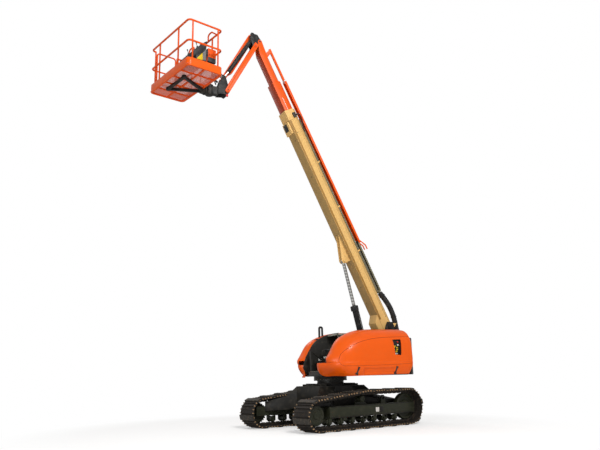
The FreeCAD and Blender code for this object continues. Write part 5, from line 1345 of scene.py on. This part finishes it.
@dataclass
class Boom(Assembly):
    """Telescoping boom with its collar, hose chain, sleeve and tray."""

    body = "base_boom"
    place = Place.BOOM
    half: float = 0.174
    low: float = -0.187
    head: float = 5.985
    loop: Point2 = (0.905, 0.231)
    loop_radius: float = 0.068
    chain_thickness: float = 0.04
    link_pitch: float = 0.062
    loop_links: int = 4
    strap_places: Point3 = (4.492, 3.247, 2.02)
    collar_length: float = 0.26

    def sections(self) -> None:
        """The three box sections with eased edges and their small fittings, with painted shade on their
        down-facing faces and low on the base section's sides.
        """
        # Each section's down-facing faces take a darker paint: painted shade.
        for node, edge, paint, below in (("base_boom", 0.006, Paint.CREAM, Paint.SHADE_AND_SEAM_TAN),
                ("mid_boom", 0.004, Paint.ORANGE_STEEL, Paint.SHADE_ORANGE),
                ("fly_boom", 0.004, Paint.ORANGE_STEEL, Paint.SHADE_ORANGE)):
            form = self.dress(node, edge, paint, body=node)
            Bench.underside(form, below, Place.BOOM, (0.3, 5.7 if node == "base_boom" else 9.0),
                self.low - 0.004)
        self.dress("carrier_tube", 0.003, Paint.ORANGE_STEEL, name="carrier_form", body="fly_boom")
        # Flush dark ochre bands low on the base section's sides: painted shade.
        lower_shade_strips = [Bench.block((0.25, self.head - 0.27), (s * self.half - 0.001, s * self.half + 0.001),
            (-0.182, -0.128), 0.0008) for s in (-1, 1)]
        self.put(lower_shade_strips, "boom_lower_shade_strips", Paint.SHADE_OCHRE)
        # Thin tan lines along the joint on the base section's sides.
        seams = [Bench.block((0.25, self.head - 0.27), (s * self.half - 0.002, s * self.half + 0.002),
            (0.014, 0.024), 0.0015) for s in (-1, 1)]
        self.put(seams, "boom_weld_seams", Paint.SHADE_AND_SEAM_TAN)
        straps = [Bench.block((t - 0.022, t + 0.022), (-0.066, 0.066), (0.15, 0.172), 0.003)
            for t in self.strap_places]
        straps += [Bench.block((t - 0.02, t + 0.02), (y * 0.06 - 0.005, y * 0.06 + 0.005),
            (0.15, 0.214), 0.003) for t in self.strap_places for y in (-1, 1)]
        self.put(straps, "chain_straps", Paint.CREAM)
        ports = [(0.74, -0.06), (1.16, 0.0), (2.6, -0.05), (4.2, 0.04), (5.2, 0.05)]
        holes = [Bench.drum(0.014, (-0.001, 0.0015), (t, y, self.low), "Z", 0.0005, 16)
            for t, y in ports]
        holes += [Bench.drum(0.012, (self.half - 0.001, self.half + 0.0015), (t, 0.0, n), "Y", 0.0005,
            16) for t, n in ((0.258, 0.02), (0.028, -0.085), (0.45, 0.03), (5.36, -0.11), (4.1, 0.03))]
        self.put(holes, "boom_plugs", Paint.CAST)

    def collar(self) -> None:
        """Wear-pad bolts, sensor and cable at the base section's head."""
        t1, t0 = self.head, self.head - self.collar_length
        look_side = {s: outward(s) for s in (-1, 1)}
        bolts = [spot(t, s * (self.half + 0.009), n) @ look_side[s] for s in (-1, 1)
            for t in (t0 + 0.05, t1 - 0.05) for n in (-0.14, -0.05)]
        down = Matrix.Rotation(math.pi, 4, "X")
        bolts += [spot(t, y, self.low - 0.009) @ down for t in (t0 + 0.05, t1 - 0.05)
            for y in (-0.11, 0.11)]
        self.put(Fastener.bolts(bolts, 0.009), "wear_pad_bolts", Paint.CREAM, smooth=0)
        lip = [Bench.block((t1 - 0.012, t1 + 0.006), (-self.half + 0.003, self.half - 0.003),
            (self.low - 0.004, self.low + 0.018), 0.002)]
        self.put(lip, "wear_pad_lip", Paint.GREY)
        self.put(Bench.block((5.49, 5.68), (-0.135, 0.05), (-0.2385, -0.2335), 0.004), "sensor_window",
            Paint.CAST)
        sensor = [Bench.block((5.745, 5.875), (self.half + 0.006, self.half + 0.046), (-0.03, 0.05),
            0.006), Bench.drum(0.02, (self.half + 0.02, self.half + 0.062), (5.8, 0.0, 0.075), "Y",
            0.004, 20)]
        self.put(sensor, "length_sensor", Paint.HOSE)
        cable = Bench.tube([(5.8, self.half + 0.03, 0.06), (5.82, self.half + 0.032, 0.14),
            (5.72, self.half - 0.02, 0.2), (5.58, 0.1, 0.215), (5.5, 0.06, 0.19), (5.35, 0.055, 0.172)],
            0.012)
        self.put(cable, "sensor_cable", Paint.HOSE)
        self.put(Bench.block((6.0, 6.33), (0.1515, 0.154), (-0.078, -0.066), 0.0008), "white_stripe",
            Paint.WHITE, body="mid_boom")
        spots = [spot(t, 0.1525, n) @ look_side[1] for t, n in ((6.7, -0.1), (6.72, 0.0),
            (6.58, -0.05))]
        self.put(Fastener.bolts(spots, 0.007), "mid_boom_bolts", Paint.ORANGE_STEEL, body="mid_boom",
            smooth=0)
        clip = [Bench.block((6.715, 6.775), (-0.045, 0.05), (0.246, 0.266), 0.004),
            Bench.block((6.725, 6.765), (0.028, 0.058), (0.246, 0.3), 0.004)]
        self.put(clip, "tube_clip", Paint.PLATE, body="fly_boom")

    def chain(self) -> None:
        """Plastic hose chain, link by link, with the hoses inside it."""
        x, z = self.loop
        r = self.loop_radius - self.chain_thickness / 2
        low_end, high_end = self.head - 0.29, 2.25
        cheeks = [Bench.slab([(-0.03, -0.022), (0.02, -0.022), (0.033, -0.013), (0.033, 0.013),
            (0.02, 0.022), (-0.03, 0.022), (-0.024, 0.0)], (s * 0.05 - 0.0045, s * 0.05 + 0.0045),
            0.0015) for s in (-1, 1)]
        bars = [Bench.block((-0.014, 0.014), (-0.047, 0.047), (s * 0.0195 - 0.003, s * 0.0195 + 0.003),
            0.0015, 1) for s in (-1, 1)]
        link = Bench.join(cheeks + bars)

        def run(end: float, above: float) -> list[Matrix]:
            """Places of the links on a straight run."""
            count = int((end - x) / self.link_pitch)
            return [spot(x + 0.031 + i * self.link_pitch, 0.0, above) for i in range(count)]

        turns = [-math.pi / 2 - math.pi * (i + 0.5) / self.loop_links for i in range(self.loop_links)]
        loop = [spot(x + r * math.cos(a), 0.0, z + r * math.sin(a))
            @ Matrix.Rotation(-(a - math.pi / 2), 4, "Y") for a in turns]
        spots = run(low_end, z - r) + loop + run(high_end, z + r)
        self.put(Bench.repeat(link, spots), "hose_chain_links", Paint.CHAIN, replaces=["energy_chain"],
            smooth=0)
        route = [(low_end, z - r), (x, z - r), (x - r * 1.6, z - r), (x - r * 1.6, z + r), (x, z + r),
            (high_end, z + r)]
        hoses = [Bench.tube([(t, y, n) for t, n in route], 0.0105) for y in (-0.026, 0.0, 0.026)]
        self.put(hoses, "chain_hoses", Paint.HOSE)

    def sleeve(self) -> None:
        """Thick hose bundle in its woven sleeve, with a clamp near its start and one halfway along."""
        high = [LAYOUT.boom_point(0.805, 0.262), LAYOUT.boom_point(0.5, 0.362),
            LAYOUT.boom_point(0.11, 0.356), LAYOUT.boom_point(-0.19, 0.262)]
        route = [(p[0], 0.0, p[1]) for p in high] + [(-2.002, 0.0, 2.06)]
        self.put(Bench.tube(route, 0.066, sides=6), "hose_sleeve_form", Paint.SLEEVE, place=Place.UPPER,
            replaces=["hose_sleeve"], smooth=50.0)
        curve = bpy.data.curves.new("sleeve_line", "CURVE")
        curve.dimensions = "3D"
        curve.resolution_u = 10
        spline = curve.splines.new("NURBS")
        spline.points.add(len(route) - 1)
        for target, point in zip(spline.points, route):
            target.co = (*point, 1.0)
        spline.order_u = 3
        spline.use_endpoint_u = True
        probe = bpy.data.objects.new("sleeve_line", curve)
        line = [v.co.copy() for v in bpy.data.meshes.new_from_object(probe).vertices]
        bpy.data.objects.remove(probe)
        log.info("sleeve length %.2f m", sum((b - a).length for a, b in zip(line, line[1:])))
        rib = Bench.turned([(0.06, -0.007), (0.067, -0.007), (0.0705, 0.0), (0.067, 0.007),
            (0.06, 0.007)], "Z", 24)
        spots = []
        walked = 0.0
        for a, b in zip(line, line[1:]):
            walked += (b - a).length
            if walked > 0.03:
                walked = 0.0
                spots.append(facing((a + b) / 2, (b - a).normalized()))
        self.put(Bench.repeat(rib, spots), "sleeve_ribs", Paint.SLEEVE, place=Place.UPPER)
        bands = Bench.turned([(0.064, -0.018), (0.0745, -0.016), (0.0745, 0.016), (0.064, 0.018)], "Z",
            32)
        ends = [facing(line[2], line[3] - line[2]), facing(line[len(line) // 2],
            line[len(line) // 2 + 1] - line[len(line) // 2])]
        self.put(Bench.repeat(bands, ends), "sleeve_clamps", Paint.CAST, place=Place.UPPER)

    def foot(self) -> None:
        """Boss round the foot pin and the lift cylinder's upper pin."""
        boss = [Bench.turned([(0.045, s * 0.17), (0.095, s * 0.17), (0.095, s * 0.1755),
            (0.088, s * 0.1785), (0.045, s * 0.1785)], "Y", 40) for s in (-1, 1)]
        self.put(boss, "foot_bosses", Paint.CREAM)
        eye_t, eye_n = LAYOUT.lift_eye
        caps = [Fastener.pin_cap(0.017, (s * 0.085, s * 0.104), eye_t, eye_n) for s in (-1, 1)]
        self.put(caps, "lift_upper_pin_caps", Paint.CAST, smooth=30.0)

    def cylinder(self) -> None:
        """Lift cylinder: barrel, gland, ports and plated rod."""
        self.dress("lift_barrel", 0.003, Paint.CAST, body="lift_barrel")
        self.dress("lift_rod", 0.003, Paint.CHROME, body="lift_rod")
        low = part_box("lift_barrel")[0]
        log.info("lift barrel starts at %.3f m", low.z)
        end = 1.289
        ring = Bench.turned([(0.074, end - 0.12), (0.094, end - 0.118), (0.098, end - 0.09),
            (0.098, end - 0.02), (0.092, end), (0.072, end + 0.004), (0.055, end + 0.012),
            (0.044, end + 0.012)], "X", 40)
        pipe = Bench.tube([(0.17, 0.0, 0.085), (0.22, 0.0, 0.098), (0.6, 0.0, 0.098),
            (end - 0.12, 0.0, 0.098), (end - 0.06, 0.0, 0.088)], 0.01)
        block = Bench.block((0.13, 0.25), (-0.035, 0.035), (0.06, 0.118), 0.006)
        self.put([ring, pipe, block], "lift_gland_and_pipe", Paint.CAST, body="lift_barrel",
            place=Place.LIFT)

    def build(self) -> None:
        """Every piece of the boom."""
        self.sections()
        self.collar()
        self.chain()
        self.sleeve()
        self.foot()
        self.cylinder()


@dataclass
class Jib(Assembly):
    """Jib with its castings, two members, cylinder and hoses."""

    body = "jib_base"
    place = Place.UPPER
    cheek: float = 0.119

    def members(self) -> None:
        """Arm, link bars and castings with eased edges."""
        for node, edge, paint, body in (("jib_arm", 0.01, Paint.ORANGE_STEEL, "jib_arm"),
                ("jib_link", 0.006, Paint.ORANGE_STEEL, "jib_link"),
                ("jib_base", 0.004, Paint.CAST, "jib_base"), ("jib_end", 0.004, Paint.CAST, "jib_end"),
                ("jib_barrel", 0.004, Paint.CAST, "jib_barrel"),
                ("jib_rod", 0.002, Paint.CHROME, "jib_rod")):
            self.dress(node, edge, paint, body=body)

    def pins(self) -> None:
        """Pin caps on the castings."""
        groups = {"jib_base": [(*LAYOUT.arm_pin, 0.034), (*LAYOUT.cylinder_top, 0.028)],
            "jib_end": [(*LAYOUT.jib_end(LAYOUT.arm_pin), 0.034)]}
        for body, places in groups.items():
            caps = [Fastener.pin_cap(r, (s * (self.cheek - 0.004), s * (self.cheek + 0.003)), x, z)
                for x, z, r in places for s in (-1, 1)]
            self.put(caps, body + "_pin_caps", Paint.CAST, body=body, smooth=30.0)
        for body, (x, z) in (("jib_base", LAYOUT.link_pin),
                ("jib_end", LAYOUT.jib_end(LAYOUT.link_pin))):
            caps = [Fastener.pin_cap(0.036, (s * 0.158, s * 0.172), x, z) for s in (-1, 1)]
            self.put(caps, body + "_link_pin_caps", Paint.ORANGE_STEEL, body=body, smooth=30.0)
        x, z = LAYOUT.jib_end(LAYOUT.link_pin)
        self.put(Bench.block((x - 0.02, x + 0.03), (0.085, 0.121), (z - 0.15, z - 0.085), 0.006),
            "red_tip", Paint.RED, body="jib_end")

    def hoses(self) -> None:
        """Hoses over the jib's head and at the rotator, with the rotator's housing."""
        ax, az = LAYOUT.arm_pin
        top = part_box("jib_base")[1].z - 0.012
        loops = [Bench.tube([(ax - 0.04, y, top - 0.15), (ax - 0.03, y, top - 0.045),
            (ax - 0.07, y, top - 0.002), (ax - 0.15, y, top - 0.002), (ax - 0.185, y, top - 0.06),
            (ax - 0.13, y, top - 0.17)], 0.0105) for y in (0.05, 0.028)]
        loops += [Bench.tube([(ax - 0.06, y, az - 0.09), (ax - 0.115, y, az - 0.05),
            (ax - 0.165, y, az - 0.12), (ax - 0.19, y, az - 0.23)], 0.0105) for y in (0.04, 0.062)]
        self.put(loops[:2], "head_hoses_grey", Paint.GREY_HOSE)
        self.put(loops[2:], "head_hoses_black", Paint.HOSE)
        ex, ez = LAYOUT.jib_end(LAYOUT.arm_pin)
        bunch = [Bench.tube([(ex - 0.03, y, ez + 0.05), (ex + 0.07, y, ez + 0.14 - 0.015 * i),
            (ex + 0.17, y * 0.7, ez + 0.06), (ex + 0.21, y * 0.5, ez - 0.05 - 0.01 * i),
            (ex + 0.15, y, ez - 0.13)], 0.01) for i, y in enumerate((-0.09, -0.055, 0.055, 0.09, 0.03))]
        self.put(bunch, "rotator_hoses", Paint.HOSE, body="jib_end")
        rx, rz = LAYOUT.rotator_x, LAYOUT.floor_z
        housing = Bench.turned([(0.0, rz - 0.058), (0.084, rz - 0.058), (0.095, rz - 0.045),
            (0.095, rz - 0.01), (0.088, rz), (0.088, rz + 0.08), (0.095, rz + 0.092),
            (0.095, rz + 0.128), (0.084, rz + 0.138), (0.0, rz + 0.138)], "Z", 40)
        housing.data.transform(spot(rx, 0.0, 0.0))
        self.put(housing, "rotator_housing", Paint.CAST, body="jib_end")
        spots = [spot(rx + 0.078 * math.cos(a), 0.078 * math.sin(a), rz + 0.17)
            for a in (math.tau * i / 8 for i in range(8))]
        self.put(Fastener.bolts(spots, 0.008), "rotator_bolts", Paint.STEEL, body="platform", smooth=0)

    def build(self) -> None:
        """Every piece of the jib."""
        self.members()
        self.pins()
        self.hoses()


@dataclass
class WorkPlatform(Assembly):
    """Railed platform with its floor, gate, console and brackets."""

    body = "platform"
    place = Place.PLATFORM
    width: float = 1.85
    depth: float = 0.91
    mesh_step: float = 0.03
    floor_thickness: float = 0.036

    def frame_parts(self) -> None:
        """Rails, gate, skirt, floor ribs and supports."""
        for node, edge, paint, body, flat in (("platform_rails", 0.0, Paint.ORANGE_RAIL, "platform",
                0.01), ("console_guards", 0.0, Paint.ORANGE_RAIL, "platform", 0.01),
                ("platform_gate", 0.0, Paint.ORANGE_RAIL, "platform_gate", 0.01),
                ("platform_skirt", 0.0012, Paint.ORANGE, "platform", 0.3),
                ("platform_floor", 0.002, Paint.ORANGE_RAIL, "platform", 0.3),
                ("platform_support", 0.004, Paint.BLACK, "platform", 0.3),
                ("rotator_arm", 0.004, Paint.BLACK, "platform", 0.3)):
            form = Bench.copy_of(node, edge, flat=flat)
            if "rails" in node or "gate" in node or "guards" in node:
                Bench.swell(form, 0.0035)
            Bench.settle(form, node + "_form", paint, body, None, [node], 40.0)
        hx, hy = self.depth / 2, self.width / 2
        rim = Bench.tube([(hx - 0.06, -hy + 0.003, 0.19), (hx - 0.003, -hy + 0.06, 0.19),
            (hx - 0.003, hy - 0.06, 0.19), (hx - 0.06, hy - 0.003, 0.19),
            (-hx + 0.06, hy - 0.003, 0.19), (-hx + 0.003, hy - 0.06, 0.19),
            (-hx + 0.003, -hy + 0.06, 0.19), (-hx + 0.06, -hy + 0.003, 0.19)], 0.0035, closed=True)
        self.put(rim, "skirt_rim", Paint.ORANGE)
        look = {s: outward(s) for s in (-1, 1)}
        spots = [spot(x, s * (hy - 0.0055), z) @ look[s] for s in (-1, 1) for x in (-0.32, 0.32)
            for z in (0.05, 0.15)]
        self.put(Fastener.bolts(spots, 0.006), "skirt_bolts", Paint.ORANGE_RAIL, smooth=0)

    def mesh(self) -> None:
        """Expanded metal: slanting strands both ways, clipped to the floor."""
        hx, hy = self.depth / 2 - 0.006, self.width / 2 - 0.006
        z0, z1 = self.floor_thickness - 0.004, self.floor_thickness - 0.0005
        strands = []
        reach = hx + hy
        count = int(2 * reach / self.mesh_step)
        for slope in (-1.0, 1.0):
            for i in range(1, count):
                c = -reach + i * self.mesh_step
                ends = []
                for x in (-hx, hx):
                    y = c + slope * x
                    if y > hy:
                        x, y = (hy - c) * slope, hy
                    elif y < -hy:
                        x, y = (-hy - c) * slope, -hy
                    ends.append((x, y))
                if abs(ends[0][0] - ends[1][0]) > 0.02 and max(abs(e[0]) for e in ends) <= hx + 1e-6:
                    strands.append(ends)
        form = bmesh.new()
        for (xa, ya), (xb, yb) in strands:
            along = Vector((xb - xa, yb - ya, 0.0)).normalized()
            across = Vector((-along.y, along.x, 0.0)) * 0.0045
            corners = [Vector((x, y, z)) + across * s for z in (z0, z1) for x, y, s in ((xa, ya, -1),
                (xb, yb, -1), (xb, yb, 1), (xa, ya, 1))]
            verts = [form.verts.new(c) for c in corners]
            for quad in ((3, 2, 1, 0), (4, 5, 6, 7), (0, 1, 5, 4), (1, 2, 6, 5), (2, 3, 7, 6),
                    (3, 0, 4, 7)):
                form.faces.new([verts[k] for k in quad])
        mesh = bpy.data.meshes.new("floor_strands")
        form.to_mesh(mesh)
        form.free()
        self.put(new_object("floor_strands", mesh), "floor_strands", Paint.MESH,
            replaces=["floor_mesh"], smooth=0)

    def console(self) -> None:
        """Curved console with its panels, switches, levers, hose, tool box and the gate's latch."""
        x0 = -self.depth / 2 + 0.048
        self.dress("console", 0.006, Paint.PLASTIC)
        chest = self.dress("console_box", 0.008, Paint.ORANGE_RAIL, name="tool_box_form")
        chest.data.materials.append(Paint.PLASTIC.material())
        back = PLACES[Place.PLATFORM].inverted()
        for face in chest.data.polygons:
            if (back @ face.center).z < 0.484:
                face.material_index = 1
        y = 0.2555
        self.put(Bench.slab([(x0 + 0.262, 0.612), (x0 + 0.105, 0.812), (x0 + 0.102, 0.616)],
            (y - 0.003, y + 0.004), 0.001), "yellow_panel", Paint.YELLOW)
        grey = [Bench.slab([(x0 + 0.098, 0.622), (x0 + 0.098, 0.812), (x0 + 0.01, 0.955),
            (x0 + 0.01, 0.63)], (y - 0.003, y + 0.006), 0.001),
            Bench.slab([(x0 + 0.08, 0.65), (x0 + 0.08, 0.79), (x0 + 0.026, 0.88), (x0 + 0.026, 0.655)],
            (y + 0.004, y + 0.01), 0.001)]
        self.put(grey, "grey_panel", Paint.PANEL)
        rims = [Bench.slab([(x0 + 0.026, 0.985), (x0 + 0.258, 0.735), (x0 + 0.322, 0.69),
            (x0 + 0.326, 0.772), (x0 + 0.22, 0.9), (x0 + 0.06, 1.07), (x0 + 0.018, 1.105)],
            (s * 0.0015 + e, s * 0.0065 + e) if s > 0 else (s * 0.0065 + e, s * 0.0015 + e), 0.0008)
            for s, e in ((1, 0.2615), (-1, -0.4265))]
        self.put(rims, "desk_end_covers", Paint.PLASTIC)
        lean = math.atan2(1.15 - 0.8, 0.342)
        turn = spot(x0 + 0.171, 0.0, 0.977) @ Matrix.Rotation(lean, 4, "Y")
        plates = [Bench.block((-0.11, 0.09), (-0.4, -0.11), (-0.004, 0.005), 0.003),
            Bench.block((-0.11, 0.09), (-0.095, 0.235), (-0.004, 0.005), 0.003)]
        face = Bench.join(plates)
        face.data.transform(turn)
        self.put(face, "desk_faces", Paint.PANEL)
        switches = []
        for v in (-0.36, -0.3, -0.24, -0.18, -0.05, 0.0, 0.05, 0.19):
            for u in (-0.06, 0.03):
                switch = Bench.turned([(0.0, 0.0), (0.012, 0.0), (0.012, 0.004), (0.006, 0.006),
                    (0.004, 0.024), (0.0, 0.026)], "Z", 14)
                switch.data.transform(turn @ spot(u, v, 0.004))
                switches.append(switch)
        self.put(switches, "desk_switches", Paint.CAST)
        boots = []
        for u, v in ((-0.03, -0.33), (-0.01, 0.12)):
            boot = Bench.turned([(0.0, 0.0), (0.03, 0.0), (0.03, 0.008), (0.022, 0.014), (0.025, 0.021),
                (0.015, 0.029), (0.017, 0.036), (0.007, 0.044), (0.007, 0.095), (0.013, 0.102),
                (0.015, 0.125), (0.009, 0.138), (0.0, 0.141)], "Z", 20)
            boot.data.transform(turn @ spot(u, v, 0.004) @ Matrix.Rotation(-lean * 0.6, 4, "Y"))
            boots.append(boot)
        self.put(boots, "control_levers", Paint.HOSE)
        knob = Bench.turned([(0.0, 0.0), (0.018, 0.0), (0.022, 0.012), (0.018, 0.024), (0.0, 0.026)],
            "Z", 20)
        knob.data.transform(turn @ spot(-0.07, 0.205, 0.004))
        self.put(knob, "stop_knob", Paint.RED)
        lid = [Bench.block((x0 + 0.2085, x0 + 0.2125), (0.606, 0.684), (0.5, 0.69), 0.0015),
            Bench.block((x0 - 0.002, x0 + 0.212), (0.602, 0.688), (0.478, 0.489), 0.003)]
        self.put(lid, "tool_box_trim", Paint.PLASTIC)
        latch = [Bench.block((-0.232, -0.196), (-self.width / 2 + 0.006, -self.width / 2 + 0.05),
            (0.72, 0.95), 0.005), Bench.block((-0.228, -0.2),
            (-self.width / 2 + 0.006, -self.width / 2 + 0.03), (0.56, 0.64), 0.005)]
        self.put(latch, "gate_latch", Paint.PANEL)
        cable = Bench.tube([(x0 + 0.05, 0.2, 0.72), (x0 + 0.02, 0.16, 0.55), (x0 + 0.03, 0.05, 0.3),
            (x0 + 0.02, 0.02, 0.1), (x0 + 0.02, 0.02, 0.045)], 0.014)
        self.put(cable, "console_hoses", Paint.HOSE)

    def build(self) -> None:
        """Every piece of the platform."""
        self.frame_parts()
        self.mesh()
        self.console()


# ---------------------------------------------------------------- studio
@dataclass
class Studio:
    """Camera, plain pale floor, soft lamps and a white surround."""

    position: Point3 = (7.221, 13.392, 1.189)
    yaw: float = -115.929
    pitch: float = 13.455
    roll: float = -1.248
    lens: float = 37.41
    floor_size: float = 90.0
    floor_tone: float = 0.86
    floor_glow: float = 0.34
    floor_fade: Point2 = (4.2, 6.5)
    sky_light: float = 0.32
    sky_shine: float = 0.3
    lamp_aim: Point3 = (0.5, 0.0, 4.0)

    def camera(self) -> None:
        """Camera at the machine's front left, low and looking up."""
        yaw, pitch, roll = (math.radians(a) for a in (self.yaw, self.pitch, self.roll))
        ahead = Vector((math.cos(yaw) * math.cos(pitch), math.sin(yaw) * math.cos(pitch),
            math.sin(pitch)))
        right = Vector((math.sin(yaw), -math.cos(yaw), 0.0))
        up = right.cross(ahead)
        across = right * math.cos(roll) + up * math.sin(roll)
        above = up * math.cos(roll) - right * math.sin(roll)
        turn = Matrix((across, above, -ahead)).transposed().to_4x4()
        data = bpy.data.cameras.new("camera")
        data.lens = self.lens
        data.sensor_width = 36.0
        data.clip_end = 300.0
        obj = new_object("camera", data)
        obj.matrix_world = PLACES[Place.UPPER] @ Matrix.Translation(self.position) @ turn
        bpy.context.scene.camera = obj

    def floor(self) -> None:
        """Pale floor that takes a soft shadow."""
        Bench.clear()
        bpy.ops.mesh.primitive_plane_add(size=self.floor_size, location=(0.0, 0.0, -0.0005))
        obj = bpy.context.object
        obj.name = "studio_floor"
        material = bpy.data.materials.new("pale_floor")
        material.use_nodes = True
        tree = material.node_tree
        shader = tree.nodes["Principled BSDF"]
        shader.inputs["Base Color"].default_value = (*(self.floor_tone,) * 3, 1.0)
        shader.inputs["Roughness"].default_value = 0.9
        rays = tree.nodes.new("ShaderNodeLightPath")
        seen = ShaderGroups.math(tree, "MULTIPLY", rays.outputs["Is Camera Ray"], self.floor_glow)
        shader.inputs["Emission Color"].default_value = (1.0, 1.0, 1.0, 1.0)
        tree.links.new(seen, shader.inputs["Emission Strength"])
        place = tree.nodes.new("ShaderNodeTexCoord")
        reach = tree.nodes.new("ShaderNodeVectorMath")
        reach.operation = "LENGTH"
        tree.links.new(place.outputs["Object"], reach.inputs[0])
        far = ShaderGroups.math(tree, "MULTIPLY", ShaderGroups.ramp(tree, reach.outputs["Value"],
            *self.floor_fade), rays.outputs["Is Camera Ray"])
        glow = tree.nodes.new("ShaderNodeEmission")
        mix = tree.nodes.new("ShaderNodeMixShader")
        tree.links.new(far, mix.inputs["Fac"])
        tree.links.new(shader.outputs[0], mix.inputs[1])
        tree.links.new(glow.outputs[0], mix.inputs[2])
        tree.links.new(mix.outputs[0], tree.nodes["Material Output"].inputs["Surface"])
        obj.data.materials.append(material)

    def lamps(self) -> None:
        """A broad key lamp, a fill lamp, a rim lamp and the surround."""
        for name, place, size, power, tint in (("key", (1.5, 13.0, 13.0), 5.0, 1550.0,
                (1.0, 0.985, 0.96)), ("fill", (13.0, 9.0, 1.6), 7.0, 620.0, (0.96, 0.98, 1.0)),
                ("rim", (2.0, -12.0, 13.0), 6.0, 330.0, (1.0, 1.0, 1.0))):
            data = bpy.data.lights.new(name + "_lamp", "AREA")
            data.shape = "DISK"
            data.size = size
            data.energy = power
            data.color = tint
            obj = new_object(name + "_lamp", data)
            aim = PLACES[Place.UPPER] @ Vector(self.lamp_aim)
            obj.location = PLACES[Place.UPPER] @ Vector(place)
            obj.rotation_mode = "QUATERNION"
            obj.rotation_quaternion = (aim - obj.location).to_track_quat("-Z", "Y")
        world = bpy.data.worlds.new("surround")
        bpy.context.scene.world = world
        world.use_nodes = True
        tree = world.node_tree
        sky = tree.nodes["Background"]
        rays = tree.nodes.new("ShaderNodeLightPath")
        shiny = ShaderGroups.math(tree, "MAXIMUM", rays.outputs["Is Glossy Ray"],
            rays.outputs["Is Transmission Ray"])
        soft = ShaderGroups.math(tree, "MULTIPLY_ADD", shiny, self.sky_shine)
        soft.node.inputs[2].default_value = self.sky_light
        strength = ShaderGroups.math(tree, "MAXIMUM", rays.outputs["Is Camera Ray"], soft)
        sky.inputs["Color"].default_value = (1.0, 1.0, 1.0, 1.0)
        tree.links.new(strength, sky.inputs["Strength"])

    def build(self) -> None:
        """The whole studio."""
        bpy.context.scene.view_settings.view_transform = "Standard"
        self.camera()
        self.floor()
        self.lamps()


def main() -> None:
    """Builds the sub-assemblies in order."""
    logging.basicConfig(level=logging.INFO, format="%(name)s: %(message)s")
    Studio().build()
    for name, side in SIDES:
        CrawlerTrack(name, side).build()
    CentreFrame().build()
    Turntable().build()
    for name, side in SIDES:
        Hood(name, side).build()
    Boom().build()
    Jib().build()
    WorkPlatform().build()


if __name__ == "__main__":
    main()
